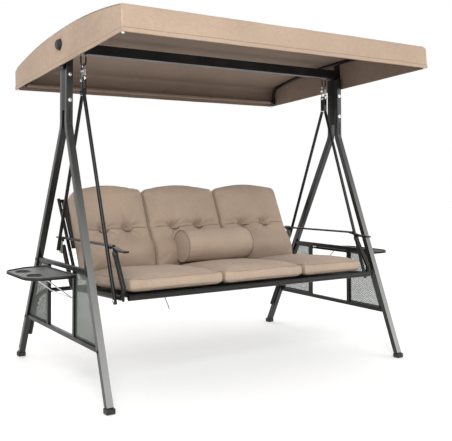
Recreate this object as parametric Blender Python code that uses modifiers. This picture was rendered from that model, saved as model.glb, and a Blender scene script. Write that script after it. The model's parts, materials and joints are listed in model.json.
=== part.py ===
"""Three-seat canopy swing bench, built piece by piece.

Units are metres, +Z is up, +X runs along the bench towards the sitter's left hand, and the bench
faces -Y.  The origin is on the ground, midway between the two A-frames and
right under the beam.

Moving groups, each hanging from an empty on its joint axis:
  canopy      tilts about the beam's end bolts (X axis)
  tilt knobs  turn on those same bolts (X axis)
  swing       hangs from the two U-bolts (X axis)
  backrest    reclines about its two feet (X axis), on the swing
  trays       fold down about their inner edge (Y axis)
  braces      fold down about their lower wire (Y axis), together with their tray
"""
from math import atan2, cos, pi, radians, sin, tan

import bmesh
import bpy
from mathutils import Matrix, Vector

# ---------------------------------------------------------------- driving dimensions
GAP = 0.0003                    # clearance where two pieces touch

FRAME_X = 0.92                  # centre plane of each A-frame
LEG_WIDE, LEG_DEEP = 0.036, 0.030   # leg tube: across (X) and along (Y)
LEG_CORNER = 0.004              # rounding of the leg tube's edges
POST_DEEP = 0.030               # beam post between the two legs
BEND_Z = 1.30                   # height where the legs start to spread
FRONT_FOOT_Y, REAR_FOOT_Y = -0.518, 0.682
LEG_TOP_Z = 1.668
CAP_SIZE = (0.044, 0.040, 0.025)

BEAM_Z, BEAM_HEIGHT, BEAM_DEEP = 1.700, 0.052, 0.050
BEAM_HALF = 0.938
RAIL = 0.022                    # square tube of the side frames
UPPER_RAIL_Z, LOWER_RAIL_Z = 0.5935, 0.2532
FRONT_BAR_Y, REAR_BAR_Y = -0.120, 0.232
STRETCHER_Z, STRETCHER_END_Z, STRETCHER_RADIUS = 0.400, 0.140, 0.0125

TILT_AXIS_Z = 1.712             # canopy pivot, inside the end of the beam
CANOPY_TILT = radians(-4.2)     # front edge up
CANOPY_HALF_X, CANOPY_HALF_Y = 0.958, 0.700
CANOPY_HEM, CANOPY_EDGE, CANOPY_RISE = -0.107, 0.018, 0.061   # heights from the pivot
CLOTH = 0.003
ARCH_X, ARCH_RADIUS, ARCH_END_Y = 0.942, 0.010, 0.655

HANG_X, HANG_Z = 0.828, 1.622   # where the hooks hang in the U-bolts
ROD_TOP_Z, ROD_RADIUS = 1.460, 0.0095
SEAT_X = 0.795                  # side tubes of the seat
SEAT_TUBE = 0.0125
FRONT_RAIL_Y, FRONT_RAIL_Z, FRONT_RAIL_RADIUS = -0.425, 0.481, 0.014
REAR_RAIL_Y, REAR_RAIL_Z, REAR_RAIL_RADIUS = 0.200, 0.440, 0.011
SEAT_SLOPE = radians(-3.3)      # seat falls towards the back
CUSHION_FRONT_Y, CUSHION_REAR_Y = -0.415, 0.118
CUSHION_BOTTOM_Z, CUSHION_THICK = 0.4985, 0.0950

BACK_PIVOT = (0.240, 0.490)     # y, z of the recline axis
BACK_LEAN = radians(31.7)       # of the backrest tubes, from upright
BACK_TUBE_X, BACK_TUBE = 0.762, 0.0095
BACK_LENGTH = 0.495
PAD_LEAN = radians(24.1)        # of the back cushions
PAD_FRONT = (0.1343, 0.510)     # y, z of their lower front edge
PAD_THICK = 0.125
PAD_SHOULDER, PAD_CROWN = 0.490, 0.540   # height of the arched top at its ends and middle, up the slope

TRAY_AXIS_X, TRAY_AXIS_Z = 0.938, 0.556
BRACE_AXIS_X, BRACE_AXIS_Z = 0.936, 0.452
BRACE_WIRE = 0.003

TUBE_RESOLUTION = 4             # of a tube's round section
CORD_RESOLUTION = 2
SIDES = (("left", -1), ("right", 1))

# ---------------------------------------------------------------- scene set-up
for old in list(bpy.data.objects):
    bpy.data.objects.remove(old, do_unlink=True)

part = bpy.data.collections.new("canopy_swing_bench")
cutters = bpy.data.collections.new("cutters")
bpy.context.scene.collection.children.link(part)
bpy.context.scene.collection.children.link(cutters)


def material(name, color, roughness, metallic=0.0):
    made = bpy.data.materials.new(name)
    made.use_nodes = True
    shader = made.node_tree.nodes["Principled BSDF"]
    shader.inputs["Base Color"].default_value = (*color, 1.0)
    shader.inputs["Roughness"].default_value = roughness
    shader.inputs["Metallic"].default_value = metallic
    return made


STEEL = material("dark_steel", (0.030, 0.031, 0.030), 0.42, 0.6)
PLASTIC = material("black_plastic", (0.012, 0.012, 0.012), 0.55)
BRACKET = material("grey_bracket", (0.16, 0.16, 0.16), 0.5, 0.3)
CHROME = material("bright_hardware", (0.62, 0.63, 0.64), 0.22, 1.0)
CANOPY_CLOTH = material("tan_canopy_cloth", (0.47, 0.36, 0.27), 0.85)
CUSHION_CLOTH = material("tan_cushion_cloth", (0.44, 0.33, 0.25), 0.9)
SLING_CLOTH = material("dark_sling", (0.06, 0.055, 0.05), 0.8)
MESH_CLOTH = material("grey_green_mesh", (0.35, 0.39, 0.33), 0.8)
TIE_CLOTH = material("tan_tie", (0.20, 0.15, 0.11), 0.9)


# ---------------------------------------------------------------- helpers
def keep(obj, slot, parent=None):
    """Put a finished piece in the part's collection, with its material and its joint's empty."""
    part.objects.link(obj)
    if slot:
        obj.data.materials.clear()
        obj.data.materials.append(slot)
    if parent:
        obj.parent = parent
        if parent.name != "canopy_axis":
            obj.matrix_parent_inverse = Matrix.Translation(parent.location).inverted()
    return obj


def axis(name, location, tilt=0.0):
    """An empty on a joint's axis."""
    marker = bpy.data.objects.new(name, None)
    marker.empty_display_size = 0.05
    marker.location = location
    marker.rotation_euler = (tilt, 0, 0)
    part.objects.link(marker)
    return marker


def rounded(points, radius, steps=4, closed=False):
    """Replace a path's corners with arcs."""
    points = [Vector(p) for p in points]
    count = len(points)
    result = []
    for i, corner in enumerate(points):
        if not closed and i in (0, count - 1):
            result.append(corner)
            continue
        before = (points[i - 1] - corner).normalized()
        after = (points[(i + 1) % count] - corner).normalized()
        half = before.angle(after) / 2
        reach = radius / tan(half)
        bisector = (before + after).normalized()
        centre = corner + bisector * (radius / sin(half))
        start = corner + before * reach - centre
        end = corner + after * reach - centre
        for k in range(steps + 1):
            share = k / steps
            spoke = start * (1 - share) + end * share
            result.append(centre + spoke.normalized() * radius)
    return result


def tube(name, points, radius, slot, parent=None, closed=False, resolution=TUBE_RESOLUTION):
    """A round bar along a path; the object's origin is the path's first point."""
    origin = Vector(points[0])
    curve = bpy.data.curves.new(name, "CURVE")
    curve.dimensions = "3D"
    curve.bevel_depth = radius
    curve.bevel_resolution = resolution
    curve.use_fill_caps = not closed
    spline = curve.splines.new("POLY")
    spline.points.add(len(points) - 1)
    spline.use_cyclic_u = closed
    for target, point in zip(spline.points, points):
        target.co = (*(Vector(point) - origin), 1.0)
    obj = bpy.data.objects.new(name, curve)
    obj.location = origin
    return keep(obj, slot, parent)


def plate(name, outlines, thickness, place, slot, parent=None):
    """A flat piece: 2D outlines in the object's XY plane, thickened both ways along its Z."""
    curve = bpy.data.curves.new(name, "CURVE")
    curve.dimensions = "2D"
    curve.fill_mode = "BOTH"
    curve.extrude = thickness / 2
    for outline in outlines:
        spline = curve.splines.new("POLY")
        spline.points.add(len(outline) - 1)
        spline.use_cyclic_u = True
        for target, point in zip(spline.points, outline):
            target.co = (point[0], point[1], 0.0, 1.0)
    obj = bpy.data.objects.new(name, curve)
    obj.matrix_world = place
    return keep(obj, slot, parent)


def side_plane(x):
    """Placement of a plate whose outline is given as (y, z), at this x."""
    return Matrix.Translation((x, 0, 0)) @ Matrix(((0, 0, 1, 0), (1, 0, 0, 0), (0, 1, 0, 0), (0, 0, 0, 1)))


def lean_plane(y, z, lean):
    """Placement of a plate whose outline is given as (x, distance up the slope)."""
    return Matrix.Translation((0, y, z)) @ Matrix.Rotation(pi / 2 - lean, 4, "X")


def box_mesh(name, size):
    mesh = bpy.data.meshes.new(name)
    shape = bmesh.new()
    bmesh.ops.create_cube(shape, size=1.0)
    bmesh.ops.scale(shape, vec=size, verts=shape.verts)
    shape.to_mesh(mesh)
    shape.free()
    return mesh


def block(name, size, centre, slot, parent=None, tilt=0.0, round_edges=0.0, segments=2):
    """A box, with rounded edges if asked."""
    obj = bpy.data.objects.new(name, box_mesh(name, size))
    obj.location = centre
    obj.rotation_euler = (tilt, 0, 0)
    if round_edges:
        bevel = obj.modifiers.new("rounded edges", "BEVEL")
        bevel.width = round_edges
        bevel.segments = segments
    return keep(obj, slot, parent)


def turned(name, profile, location, rotation, slot, parent=None, steps=24):
    """A turned piece: profile of (radius, height) from its top centre to its bottom centre."""
    mesh = bpy.data.meshes.new(name)
    mesh.from_pydata([(r, 0, h) for r, h in profile], [(i, i + 1) for i in range(len(profile) - 1)], [])
    obj = bpy.data.objects.new(name, mesh)
    screw = obj.modifiers.new("turned", "SCREW")
    screw.steps = steps
    screw.render_steps = steps
    screw.use_merge_vertices = True
    screw.merge_threshold = 0.00001
    obj.location = location
    obj.rotation_euler = rotation
    return keep(obj, slot, parent)


def cutter(name, mesh, location, rotation=(0, 0, 0), parent=None):
    """A hidden body used to cut or to add."""
    obj = bpy.data.objects.new(name, mesh)
    obj.location = location
    obj.rotation_euler = rotation
    obj.hide_render = True
    obj.display_type = "WIRE"
    obj.parent = parent
    cutters.objects.link(obj)
    return obj


def pin_mesh(name, radius, length, sides=20):
    mesh = bpy.data.meshes.new(name)
    shape = bmesh.new()
    bmesh.ops.create_cone(shape, cap_ends=True, segments=sides, radius1=radius, radius2=radius,
                          depth=length)
    shape.to_mesh(mesh)
    shape.free()
    return mesh


def combine(obj, other, operation):
    boolean = obj.modifiers.new(operation.lower(), "BOOLEAN")
    boolean.object = other
    boolean.operation = operation
    boolean.solver = "EXACT"


def as_mesh(obj):
    """Turn a curve piece into a mesh piece with its caps welded on."""
    bpy.context.view_layer.update()
    evaluated = obj.evaluated_get(bpy.context.evaluated_depsgraph_get())
    mesh = bpy.data.meshes.new_from_object(evaluated)
    shape = bmesh.new()
    shape.from_mesh(mesh)
    bmesh.ops.remove_doubles(shape, verts=shape.verts, dist=0.00001)
    shape.to_mesh(mesh)
    shape.free()
    name, parent, placed = obj.name, obj.parent, obj.matrix_world.copy()
    bpy.data.objects.remove(obj, do_unlink=True)
    made = bpy.data.objects.new(name, mesh)
    part.objects.link(made)
    made.parent = parent
    made.matrix_world = placed
    return made


# ---------------------------------------------------------------- joint axes
canopy_axis = axis("canopy_axis", (0, 0, TILT_AXIS_Z), CANOPY_TILT)
swing_axis = axis("swing_axis", (0, 0, HANG_Z))
back_axis = axis("backrest_axis", (0, *BACK_PIVOT))
knob_axis = {side: axis(f"knob_axis_{side}", (s * CANOPY_HALF_X, 0, TILT_AXIS_Z)) for side, s in SIDES}
tray_axis = {side: axis(f"tray_axis_{side}", (s * TRAY_AXIS_X, 0, TRAY_AXIS_Z)) for side, s in SIDES}
brace_axis = {side: axis(f"brace_axis_{side}", (s * BRACE_AXIS_X, 0, BRACE_AXIS_Z)) for side, s in SIDES}


# ---------------------------------------------------------------- stand
def leg_centre_y(foot_y, z):
    """Where a leg's centre line is at this height, below its bend."""
    top = (LEG_DEEP + POST_DEEP) / 2 + 2 * GAP
    top = top if foot_y > 0 else -top
    return top + (foot_y - top) * (BEND_Z - z) / BEND_Z


def leg_outline(foot_y):
    """Side outline (y, z) of a bent leg: upright beside the post, then spreading to its foot."""
    top_y = leg_centre_y(foot_y, BEND_Z)
    path = rounded([(top_y, LEG_TOP_Z), (top_y, BEND_Z), (foot_y, 0.0)], 0.12, steps=5)
    half = LEG_DEEP / 2
    one_side, other_side = [], []
    for i, point in enumerate(path):
        a = path[max(i - 1, 0)]
        b = path[min(i + 1, len(path) - 1)]
        along = (b - a).normalized()
        across = Vector((-along.y, along.x)) * half
        one_side.append(point + across)
        other_side.append(point - across)
    slope = (path[-1] - path[-2]).normalized()
    for line in (one_side, other_side):
        line[-1] += slope * ((CAP_SIZE[2] + GAP - line[-1].y) / slope.y)
    return one_side + other_side[::-1]


def make_leg(place, side, s, foot_y):
    leg = plate(f"leg_{place}_{side}", [leg_outline(foot_y)], LEG_WIDE, side_plane(s * FRAME_X), STEEL)
    weld = leg.modifiers.new("welded caps", "WELD")
    weld.merge_threshold = 0.00001
    bevel = leg.modifiers.new("rounded corners", "BEVEL")
    bevel.width = LEG_CORNER
    bevel.segments = 2
    bevel.limit_method = "ANGLE"
    bevel.angle_limit = radians(40)
    cap_y = leg_centre_y(foot_y, CAP_SIZE[2] / 2)
    block(f"foot_cap_{place}_{side}", CAP_SIZE, (s * FRAME_X, cap_y, CAP_SIZE[2] / 2), PLASTIC,
          round_edges=0.003, segments=1)


def make_side_frame(side, s):
    """Welded frame between the legs: two rails and two upright bars."""
    half = RAIL / 2
    clear = LEG_DEEP / 2 / cos(atan2(abs(FRONT_FOOT_Y), BEND_Z)) + 0.007
    ends = {}
    for name, z in (("upper", UPPER_RAIL_Z), ("lower", LOWER_RAIL_Z)):
        ends[name] = (leg_centre_y(FRONT_FOOT_Y, z) + clear, leg_centre_y(REAR_FOOT_Y, z) - clear)
    (uf, ur), (lf, lr) = ends["upper"], ends["lower"]
    top, bottom = UPPER_RAIL_Z, LOWER_RAIL_Z
    front, rear = FRONT_BAR_Y - half, REAR_BAR_Y + half
    outer = [(uf, top + half), (uf, top - half), (front, top - half), (front, bottom + half),
             (lf, bottom + half), (lf, bottom - half), (lr, bottom - half), (lr, bottom + half),
             (rear, bottom + half), (rear, top - half), (ur, top - half), (ur, top + half)]
    inner = [(front + RAIL, top - half), (rear - RAIL, top - half),
             (rear - RAIL, bottom + half), (front + RAIL, bottom + half)]
    plate(f"side_frame_{side}", [outer, inner], RAIL - 0.002, side_plane(s * FRAME_X), STEEL)


def make_mesh_panels(side, s):
    """The stretched mesh between each upright bar and its leg."""
    top, bottom = UPPER_RAIL_Z - RAIL / 2 - 0.001, LOWER_RAIL_Z + RAIL / 2 + 0.001
    bays = (("front", FRONT_BAR_Y, FRONT_FOOT_Y, -1), ("rear", REAR_BAR_Y, REAR_FOOT_Y, 1))
    for place, bar_y, foot_y, way in bays:
        inner = bar_y + way * (RAIL / 2 + 0.001)
        reach = way * (LEG_DEEP / 2 + 0.003)
        outline = [(inner, bottom), (inner, top), (leg_centre_y(foot_y, top) - reach, top),
                   (leg_centre_y(foot_y, bottom) - reach, bottom)]
        plate(f"mesh_panel_{place}_{side}", [outline], 0.002, side_plane(s * FRAME_X), MESH_CLOTH)


def make_rear_stretcher():
    """Tube between the two rear legs, its ends bent down along the legs' inner faces."""
    x = FRAME_X - LEG_WIDE / 2 - STRETCHER_RADIUS - 0.0005
    foot = (leg_centre_y(REAR_FOOT_Y, STRETCHER_END_Z), STRETCHER_END_Z)
    top = (leg_centre_y(REAR_FOOT_Y, STRETCHER_Z), STRETCHER_Z)
    path = rounded([(-x, *foot), (-x, *top), (x, *top), (x, *foot)], 0.060)
    tube("rear_stretcher", path, STRETCHER_RADIUS, STEEL)


def make_beam():
    beam = block("top_beam", (2 * BEAM_HALF, BEAM_DEEP, BEAM_HEIGHT), (0, 0, BEAM_Z), STEEL)
    for side, s in SIDES:
        hole = cutter(f"bolt_hole_{side}", pin_mesh("bolt_hole", 0.0056, 0.09),
                      (s * BEAM_HALF, 0, TILT_AXIS_Z), (0, pi / 2, 0))
        combine(beam, hole, "DIFFERENCE")


def make_post(side, s):
    """The tongue under the beam's end that the two legs are bolted to."""
    top = BEAM_Z - BEAM_HEIGHT / 2 - GAP
    bottom = BEND_Z + 0.080
    middle = (s * FRAME_X, 0, (top + bottom) / 2)
    block(f"beam_post_{side}", (LEG_WIDE, POST_DEEP, top - bottom), middle, STEEL)


def make_u_bolt(side, s):
    """U-bolt under the beam; the hook hangs in its bend."""
    wire, half, bend_z = 0.004, 0.014, HANG_Z - 0.004 + 0.014
    top = BEAM_Z - BEAM_HEIGHT / 2 - GAP
    bend = [(s * HANG_X - half * cos(a), 0, bend_z - half * sin(a)) for a in [pi * k / 8 for k in range(9)]]
    path = [(s * HANG_X - half, 0, top), *bend, (s * HANG_X + half, 0, top)]
    tube(f"u_bolt_{side}", path, wire, PLASTIC)


# ---------------------------------------------------------------- canopy
def canopy_height(y):
    """Height of the arched top above the pivot."""
    return CANOPY_EDGE + CANOPY_RISE * (1 - abs(y / CANOPY_HALF_Y) ** 2.2)


def arch_line(half_y, hem, drop, radius):
    """(y, z) from one hem, up, over the arch and down to the other hem."""
    count = 12
    top = [(half_y * (2 * k / count - 1), canopy_height(half_y * (2 * k / count - 1)) - drop)
           for k in range(count + 1)]
    line = [Vector((-half_y, hem)), *[Vector(p) for p in top], Vector((half_y, hem))]
    start = rounded(line[:3], radius)[:-1]
    end = rounded(line[-3:], radius)[1:]
    return start + line[2:-2] + end


def make_cover():
    """The cloth cover: arched top with a hanging edge all round, open below."""
    profile = arch_line(CANOPY_HALF_Y, CANOPY_HEM, 0.0, 0.028)
    mesh = bpy.data.meshes.new("canopy_cover")
    shape = bmesh.new()
    outline = shape.faces.new([shape.verts.new((-CANOPY_HALF_X, y, z)) for y, z in profile])
    sweep = bmesh.ops.extrude_face_region(shape, geom=[outline])
    moved = [v for v in sweep["geom"] if isinstance(v, bmesh.types.BMVert)]
    bmesh.ops.translate(shape, verts=moved, vec=(2 * CANOPY_HALF_X, 0, 0))
    bmesh.ops.recalc_face_normals(shape, faces=shape.faces)
    underside = [f for f in shape.faces if f.normal.z < -0.9]
    bmesh.ops.delete(shape, geom=underside, context="FACES")
    shape.to_mesh(mesh)
    shape.free()
    cover = bpy.data.objects.new("canopy_cover", mesh)
    bevel = cover.modifiers.new("rounded ends", "BEVEL")
    bevel.width = 0.016
    bevel.segments = 3
    bevel.limit_method = "ANGLE"
    bevel.angle_limit = radians(60)
    cloth = cover.modifiers.new("cloth thickness", "SOLIDIFY")
    cloth.thickness = CLOTH
    cloth.offset = -1
    keep(cover, CANOPY_CLOTH, canopy_axis)
    for side, s in SIDES:
        hole = cutter(f"cover_hole_{side}", pin_mesh("cover_hole", 0.007, 0.03),
                      (s * CANOPY_HALF_X, 0, 0), (0, pi / 2, 0), canopy_axis)
        combine(cover, hole, "DIFFERENCE")


def make_arch(side, s):
    """Bent end tube of the canopy with its welded pivot plate."""
    line = arch_line(ARCH_END_Y, CANOPY_HEM + 0.010, CLOTH + 0.003 + ARCH_RADIUS, 0.05)
    path = [(s * ARCH_X, y, z) for y, z in line]
    arch = as_mesh(tube(f"canopy_arch_{side}", path, ARCH_RADIUS, STEEL, canopy_axis))
    arch.data.materials.append(STEEL)
    top = canopy_height(0) - CLOTH - 0.003 - ARCH_RADIUS
    bottom = -0.125
    welded = cutter(f"pivot_plate_{side}", box_mesh("pivot_plate", (0.010, 0.040, top - bottom)),
                    (s * 0.9465, 0, (top + bottom) / 2), parent=canopy_axis)
    combine(arch, welded, "UNION")
    hole = cutter(f"pivot_hole_{side}", pin_mesh("pivot_hole", 0.0056, 0.03),
                  (s * ARCH_X, 0, 0), (0, pi / 2, 0), canopy_axis)
    combine(arch, hole, "DIFFERENCE")


def make_canopy_rails():
    """Straight rails between the feet of the two end arches."""
    reach = ARCH_X - ARCH_RADIUS - 0.0005
    for place, way in (("front", -1), ("rear", 1)):
        y, z = way * ARCH_END_Y, CANOPY_HEM + 0.024
        tube(f"canopy_{place}_rail", [(-reach, y, z), (reach, y, z)], ARCH_RADIUS, STEEL, canopy_axis)


def make_knob(side, s):
    """Clamping knob with its bolt, through cover and arch into the beam's end."""
    face = 0.0006
    profile = [(0, 0.019), (0.018, 0.019), (0.025, 0.014), (0.0265, 0.006), (0.0265, face),
               (0.005, face), (0.005, -0.052), (0, -0.052)]
    turned(f"tilt_knob_{side}", profile, (s * CANOPY_HALF_X, 0, TILT_AXIS_Z), (0, s * pi / 2, 0),
           PLASTIC, knob_axis[side])


# ---------------------------------------------------------------- swing: hangers
def make_hook(side, s):
    """Oval spring hook, hanging in the U-bolt."""
    wire, half = 0.0035, 0.0165
    top, bottom = HANG_Z + wire + 0.001, HANG_Z - 0.087
    high, low = top - half, bottom + half
    upper = [(s * HANG_X, half * cos(a), high + half * sin(a)) for a in [pi * k / 8 for k in range(9)]]
    lower = [(s * HANG_X, -half * cos(a), low - half * sin(a)) for a in [pi * k / 8 for k in range(9)]]
    tube(f"spring_hook_{side}", upper + lower, wire, CHROME, swing_axis, closed=True)


def make_clevis(side, s):
    """Fork that takes the hook on its pin and carries the two hanger rods."""
    x, pin_z = s * HANG_X, HANG_Z - 0.079
    low, high = ROD_TOP_Z + 0.0038, pin_z + 0.012
    clevis = block(f"hanger_clevis_{side}", (0.018, 0.030, 0.036), (x, 0, low + 0.018), STEEL, swing_axis)
    for end, way in (("inner", -1), ("outer", 1)):
        cheek = cutter(f"cheek_{end}_{side}", box_mesh("cheek", (0.004, 0.030, high - low)),
                       (x + way * 0.010, 0, (low + high) / 2))
        combine(clevis, cheek, "UNION")
    pin = cutter(f"hook_pin_{side}", pin_mesh("hook_pin", 0.004, 0.032), (x, 0, pin_z), (0, pi / 2, 0))
    combine(clevis, pin, "UNION")


def make_rods(side, s):
    """The two hanger rods on each side, from the clevis to the seat."""
    front = [(s * HANG_X, -0.013, ROD_TOP_Z), (s * 0.818, -0.358, 0.452)]
    rear = [(s * HANG_X, 0.015, ROD_TOP_Z), (s * HANG_X, 0.339, 0.640)]
    tube(f"hanger_rod_front_{side}", front, ROD_RADIUS, STEEL, swing_axis)
    tube(f"hanger_rod_rear_{side}", rear, ROD_RADIUS, STEEL, swing_axis)


def make_rod_bracket(side, s):
    """Plate that joins the rear hanger rod to the seat's upright."""
    half_y, half_z = 0.017, 0.040
    corners = [(-half_y, -half_z), (half_y, -half_z), (half_y, half_z), (-half_y, half_z)]
    outline = [(p.x + 0.335, p.y + 0.660) for p in rounded(corners, 0.014, closed=True)]
    plate(f"rod_bracket_{side}", [outline], 0.0096, side_plane(s * 0.813), BRACKET, swing_axis)


# ---------------------------------------------------------------- swing: seat
def seat_line(z_front, y):
    """Height at y of a line that follows the seat's slope, given its height at the front."""
    return z_front + (y - CUSHION_FRONT_Y) * tan(SEAT_SLOPE)


def make_seat_side(side, s):
    """One bent tube: arm post, side of the seat and upright behind it."""
    corners = [(-0.305, 0.686), (FRONT_RAIL_Y - 0.002, 0.478), (0.215, 0.4455), (0.345, 0.662)]
    path = [(s * SEAT_X, p.x, p.y) for p in rounded(corners, 0.035)]
    tube(f"seat_side_tube_{side}", path, SEAT_TUBE, STEEL, swing_axis)


def make_seat_rails():
    for name, y, z, radius in (("seat_front_rail", FRONT_RAIL_Y, FRONT_RAIL_Z, FRONT_RAIL_RADIUS),
                               ("seat_rear_rail", REAR_RAIL_Y, REAR_RAIL_Z, REAR_RAIL_RADIUS)):
        reach = SEAT_X - SEAT_TUBE - 0.0005
        tube(name, [(-reach, y, z), (reach, y, z)], radius, STEEL, swing_axis)


def make_armrest(side, s):
    """Flat arm, bent down at its front end."""
    path = rounded([(0.430, 0.703), (-0.262, 0.711), (-0.345, 0.694), (-0.420, 0.693)], 0.04, steps=3)
    half = 0.005
    upper = [(p.x, p.y + half) for p in path]
    lower = [(p.x, p.y - half) for p in reversed(path)]
    plate(f"armrest_{side}", [upper + lower], 0.030, side_plane(s * 0.790), STEEL, swing_axis)


def make_seat_sling():
    """Stretched cloth between the front and rear rails."""
    front, rear = FRONT_RAIL_Y + FRONT_RAIL_RADIUS + 0.001, REAR_RAIL_Y - REAR_RAIL_RADIUS - 0.001
    slope = atan2(REAR_RAIL_Z - FRONT_RAIL_Z, REAR_RAIL_Y - FRONT_RAIL_Y)
    middle = (front + rear) / 2
    z = FRONT_RAIL_Z + (middle - FRONT_RAIL_Y) * tan(slope)
    size = (1.536, (rear - front) / cos(slope), CLOTH)
    block("seat_sling", size, (0, middle, z), SLING_CLOTH, swing_axis, slope)


def make_seat_cushions():
    """Three loose seat cushions side by side."""
    depth = CUSHION_REAR_Y - CUSHION_FRONT_Y
    middle = (CUSHION_REAR_Y + CUSHION_FRONT_Y) / 2
    z = seat_line(CUSHION_BOTTOM_Z + CUSHION_THICK / 2, middle)
    for name, left, right in (("left", -0.765, -0.235), ("middle", -0.225, 0.290), ("right", 0.305, 0.730)):
        block(f"seat_cushion_{name}", (right - left, depth, CUSHION_THICK), ((left + right) / 2, middle, z),
              CUSHION_CLOTH, swing_axis, SEAT_SLOPE, round_edges=0.022, segments=3)


def make_bolster():
    """Round pillow lying in the angle between the seat and back cushions."""
    radius, half = 0.088, 0.240
    profile = [(0, half), (0.070, half - 0.002), (radius, half - 0.014),
               (radius, 0.014 - half), (0.070, 0.002 - half), (0, -half)]
    turned("bolster_pillow", profile, (0.060, 0.096, 0.6585), (0, pi / 2, 0), CUSHION_CLOTH, swing_axis)


def make_tie():
    """Loose end of a cushion tie, hanging behind the front rail."""
    path = [(-0.5760, -0.402, 0.4740), (-0.5745, -0.402, 0.4660), (-0.5720, -0.402, 0.4580),
            (-0.5685, -0.402, 0.4500), (-0.5645, -0.402, 0.4420), (-0.5605, -0.402, 0.4330),
            (-0.5565, -0.402, 0.4240), (-0.5530, -0.402, 0.4150), (-0.5505, -0.402, 0.4060)]
    tube("cushion_tie", path, 0.002, TIE_CLOTH, swing_axis, resolution=CORD_RESOLUTION)


# ---------------------------------------------------------------- swing: backrest
def up_the_back(distance, x=0.0):
    """A point this far up the backrest tubes from the recline axis."""
    return (x, BACK_PIVOT[0] + distance * sin(BACK_LEAN), BACK_PIVOT[1] + distance * cos(BACK_LEAN))


def make_backrest_frame():
    for side, s in SIDES:
        ends = [up_the_back(-0.013, s * BACK_TUBE_X), up_the_back(BACK_LENGTH, s * BACK_TUBE_X)]
        tube(f"backrest_tube_{side}", ends, BACK_TUBE, STEEL, back_axis)
    reach = BACK_TUBE_X - BACK_TUBE - 0.0005
    height = BACK_LENGTH - BACK_TUBE
    ends = [up_the_back(height, -reach), up_the_back(height, reach)]
    tube("backrest_top_rail", ends, BACK_TUBE, STEEL, back_axis)


def make_backrest_sling():
    low, high, half = 0.180, BACK_LENGTH - 2 * BACK_TUBE - 0.001, 0.7490
    outline = [(-half, low), (half, low), (half, high), (-half, high)]
    plate("backrest_sling", [outline], CLOTH, lean_plane(*BACK_PIVOT, BACK_LEAN), SLING_CLOTH, back_axis)


def make_back_cushions():
    """Three back cushions with arched tops."""
    mid_y = PAD_FRONT[0] + PAD_THICK / 2 * cos(PAD_LEAN)
    mid_z = PAD_FRONT[1] - PAD_THICK / 2 * sin(PAD_LEAN)
    for name, left, right in (("left", -0.738, -0.305), ("middle", -0.298, 0.203), ("right", 0.210, 0.702)):
        count = 10
        top = []
        for k in range(count + 1):
            share = 2 * k / count - 1
            x = (left + right) / 2 + share * (right - left) / 2
            top.append((x, PAD_SHOULDER + (PAD_CROWN - PAD_SHOULDER) * cos(share * pi / 2)))
        outline = [(left, 0.0), *top, (right, 0.0)]
        place = lean_plane(mid_y, mid_z, PAD_LEAN)
        pad = plate(f"back_cushion_{name}", [outline], PAD_THICK, place, None, back_axis)
        pad = as_mesh(pad)
        pad.data.materials.clear()
        pad.data.materials.append(CUSHION_CLOTH)
        bevel = pad.modifiers.new("soft edges", "BEVEL")
        bevel.width = 0.020
        bevel.segments = 2
        bevel.limit_method = "ANGLE"
        bevel.angle_limit = radians(50)


# ---------------------------------------------------------------- side trays
def tray_outline(s):
    """Tray with a bowed outer end and two hinge lugs; x is measured from the hinge axis."""
    inner, lug_end, lug_half = 0.007, -0.0055, 0.008
    bow = rounded([(0.060, -0.222), (0.254, -0.228), (0.254, 0.130), (0.120, 0.215)], 0.085, steps=5)
    outline = [(inner, -0.190), (0.020, -0.212), *[(p.x, p.y) for p in bow], (inner, REAR_BAR_Y + lug_half)]
    for y in (REAR_BAR_Y, FRONT_BAR_Y):
        outline += [(lug_end, y + lug_half), (lug_end, y - lug_half), (inner, y - lug_half)]
        if y == REAR_BAR_Y:
            outline += [(inner, 0.185), (0.026, 0.165), (0.026, -0.060), (inner, -0.080)]
            outline.append((inner, FRONT_BAR_Y + lug_half))
    return [(s * x, y) for x, y in outline]


def circle(x, y, radius, count=24):
    turns = [2 * pi * k / count for k in range(count)]
    return [(x + radius * cos(turn), y + radius * sin(turn)) for turn in turns]


def make_tray(side, s):
    """Fold-down side tray with two round cup holes."""
    holes = [circle(s * 0.178, y, 0.034) for y in (0.075, -0.090)]
    bottom, top = 0.005, 0.021
    place = Matrix.Translation((s * TRAY_AXIS_X, 0, TRAY_AXIS_Z + (top + bottom) / 2))
    plate(f"tray_{side}", [tray_outline(s), *holes], top - bottom, place, PLASTIC, tray_axis[side])


def make_brace(side, s):
    """Wire loop that props the tray: lower wire on the frame, upper wire under the tray."""
    low_x, low_z = BRACE_AXIS_X, BRACE_AXIS_Z
    high_x, high_z = 1.075, TRAY_AXIS_Z + 0.005 - BRACE_WIRE - 0.0004
    front, rear = -0.125, 0.155
    corners = [(s * low_x, front, low_z), (s * low_x, rear, low_z),
               (s * high_x, rear, high_z), (s * high_x, front, high_z)]
    tube(f"tray_brace_{side}", rounded(corners, 0.012, steps=3, closed=True), BRACE_WIRE, CHROME,
         brace_axis[side], closed=True)


# ---------------------------------------------------------------- build
make_beam()
make_rear_stretcher()
for side, s in SIDES:
    make_leg("front", side, s, FRONT_FOOT_Y)
    make_leg("rear", side, s, REAR_FOOT_Y)
    make_post(side, s)
    make_side_frame(side, s)
    make_mesh_panels(side, s)
    make_u_bolt(side, s)
    make_arch(side, s)
    make_knob(side, s)
    make_hook(side, s)
    make_clevis(side, s)
    make_rods(side, s)
    make_seat_side(side, s)
    make_rod_bracket(side, s)
    make_armrest(side, s)
    make_tray(side, s)
    make_brace(side, s)
make_cover()
make_canopy_rails()
make_seat_rails()
make_seat_sling()
make_seat_cushions()
make_bolster()
make_tie()
make_backrest_frame()
make_backrest_sling()
make_back_cushions()
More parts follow.
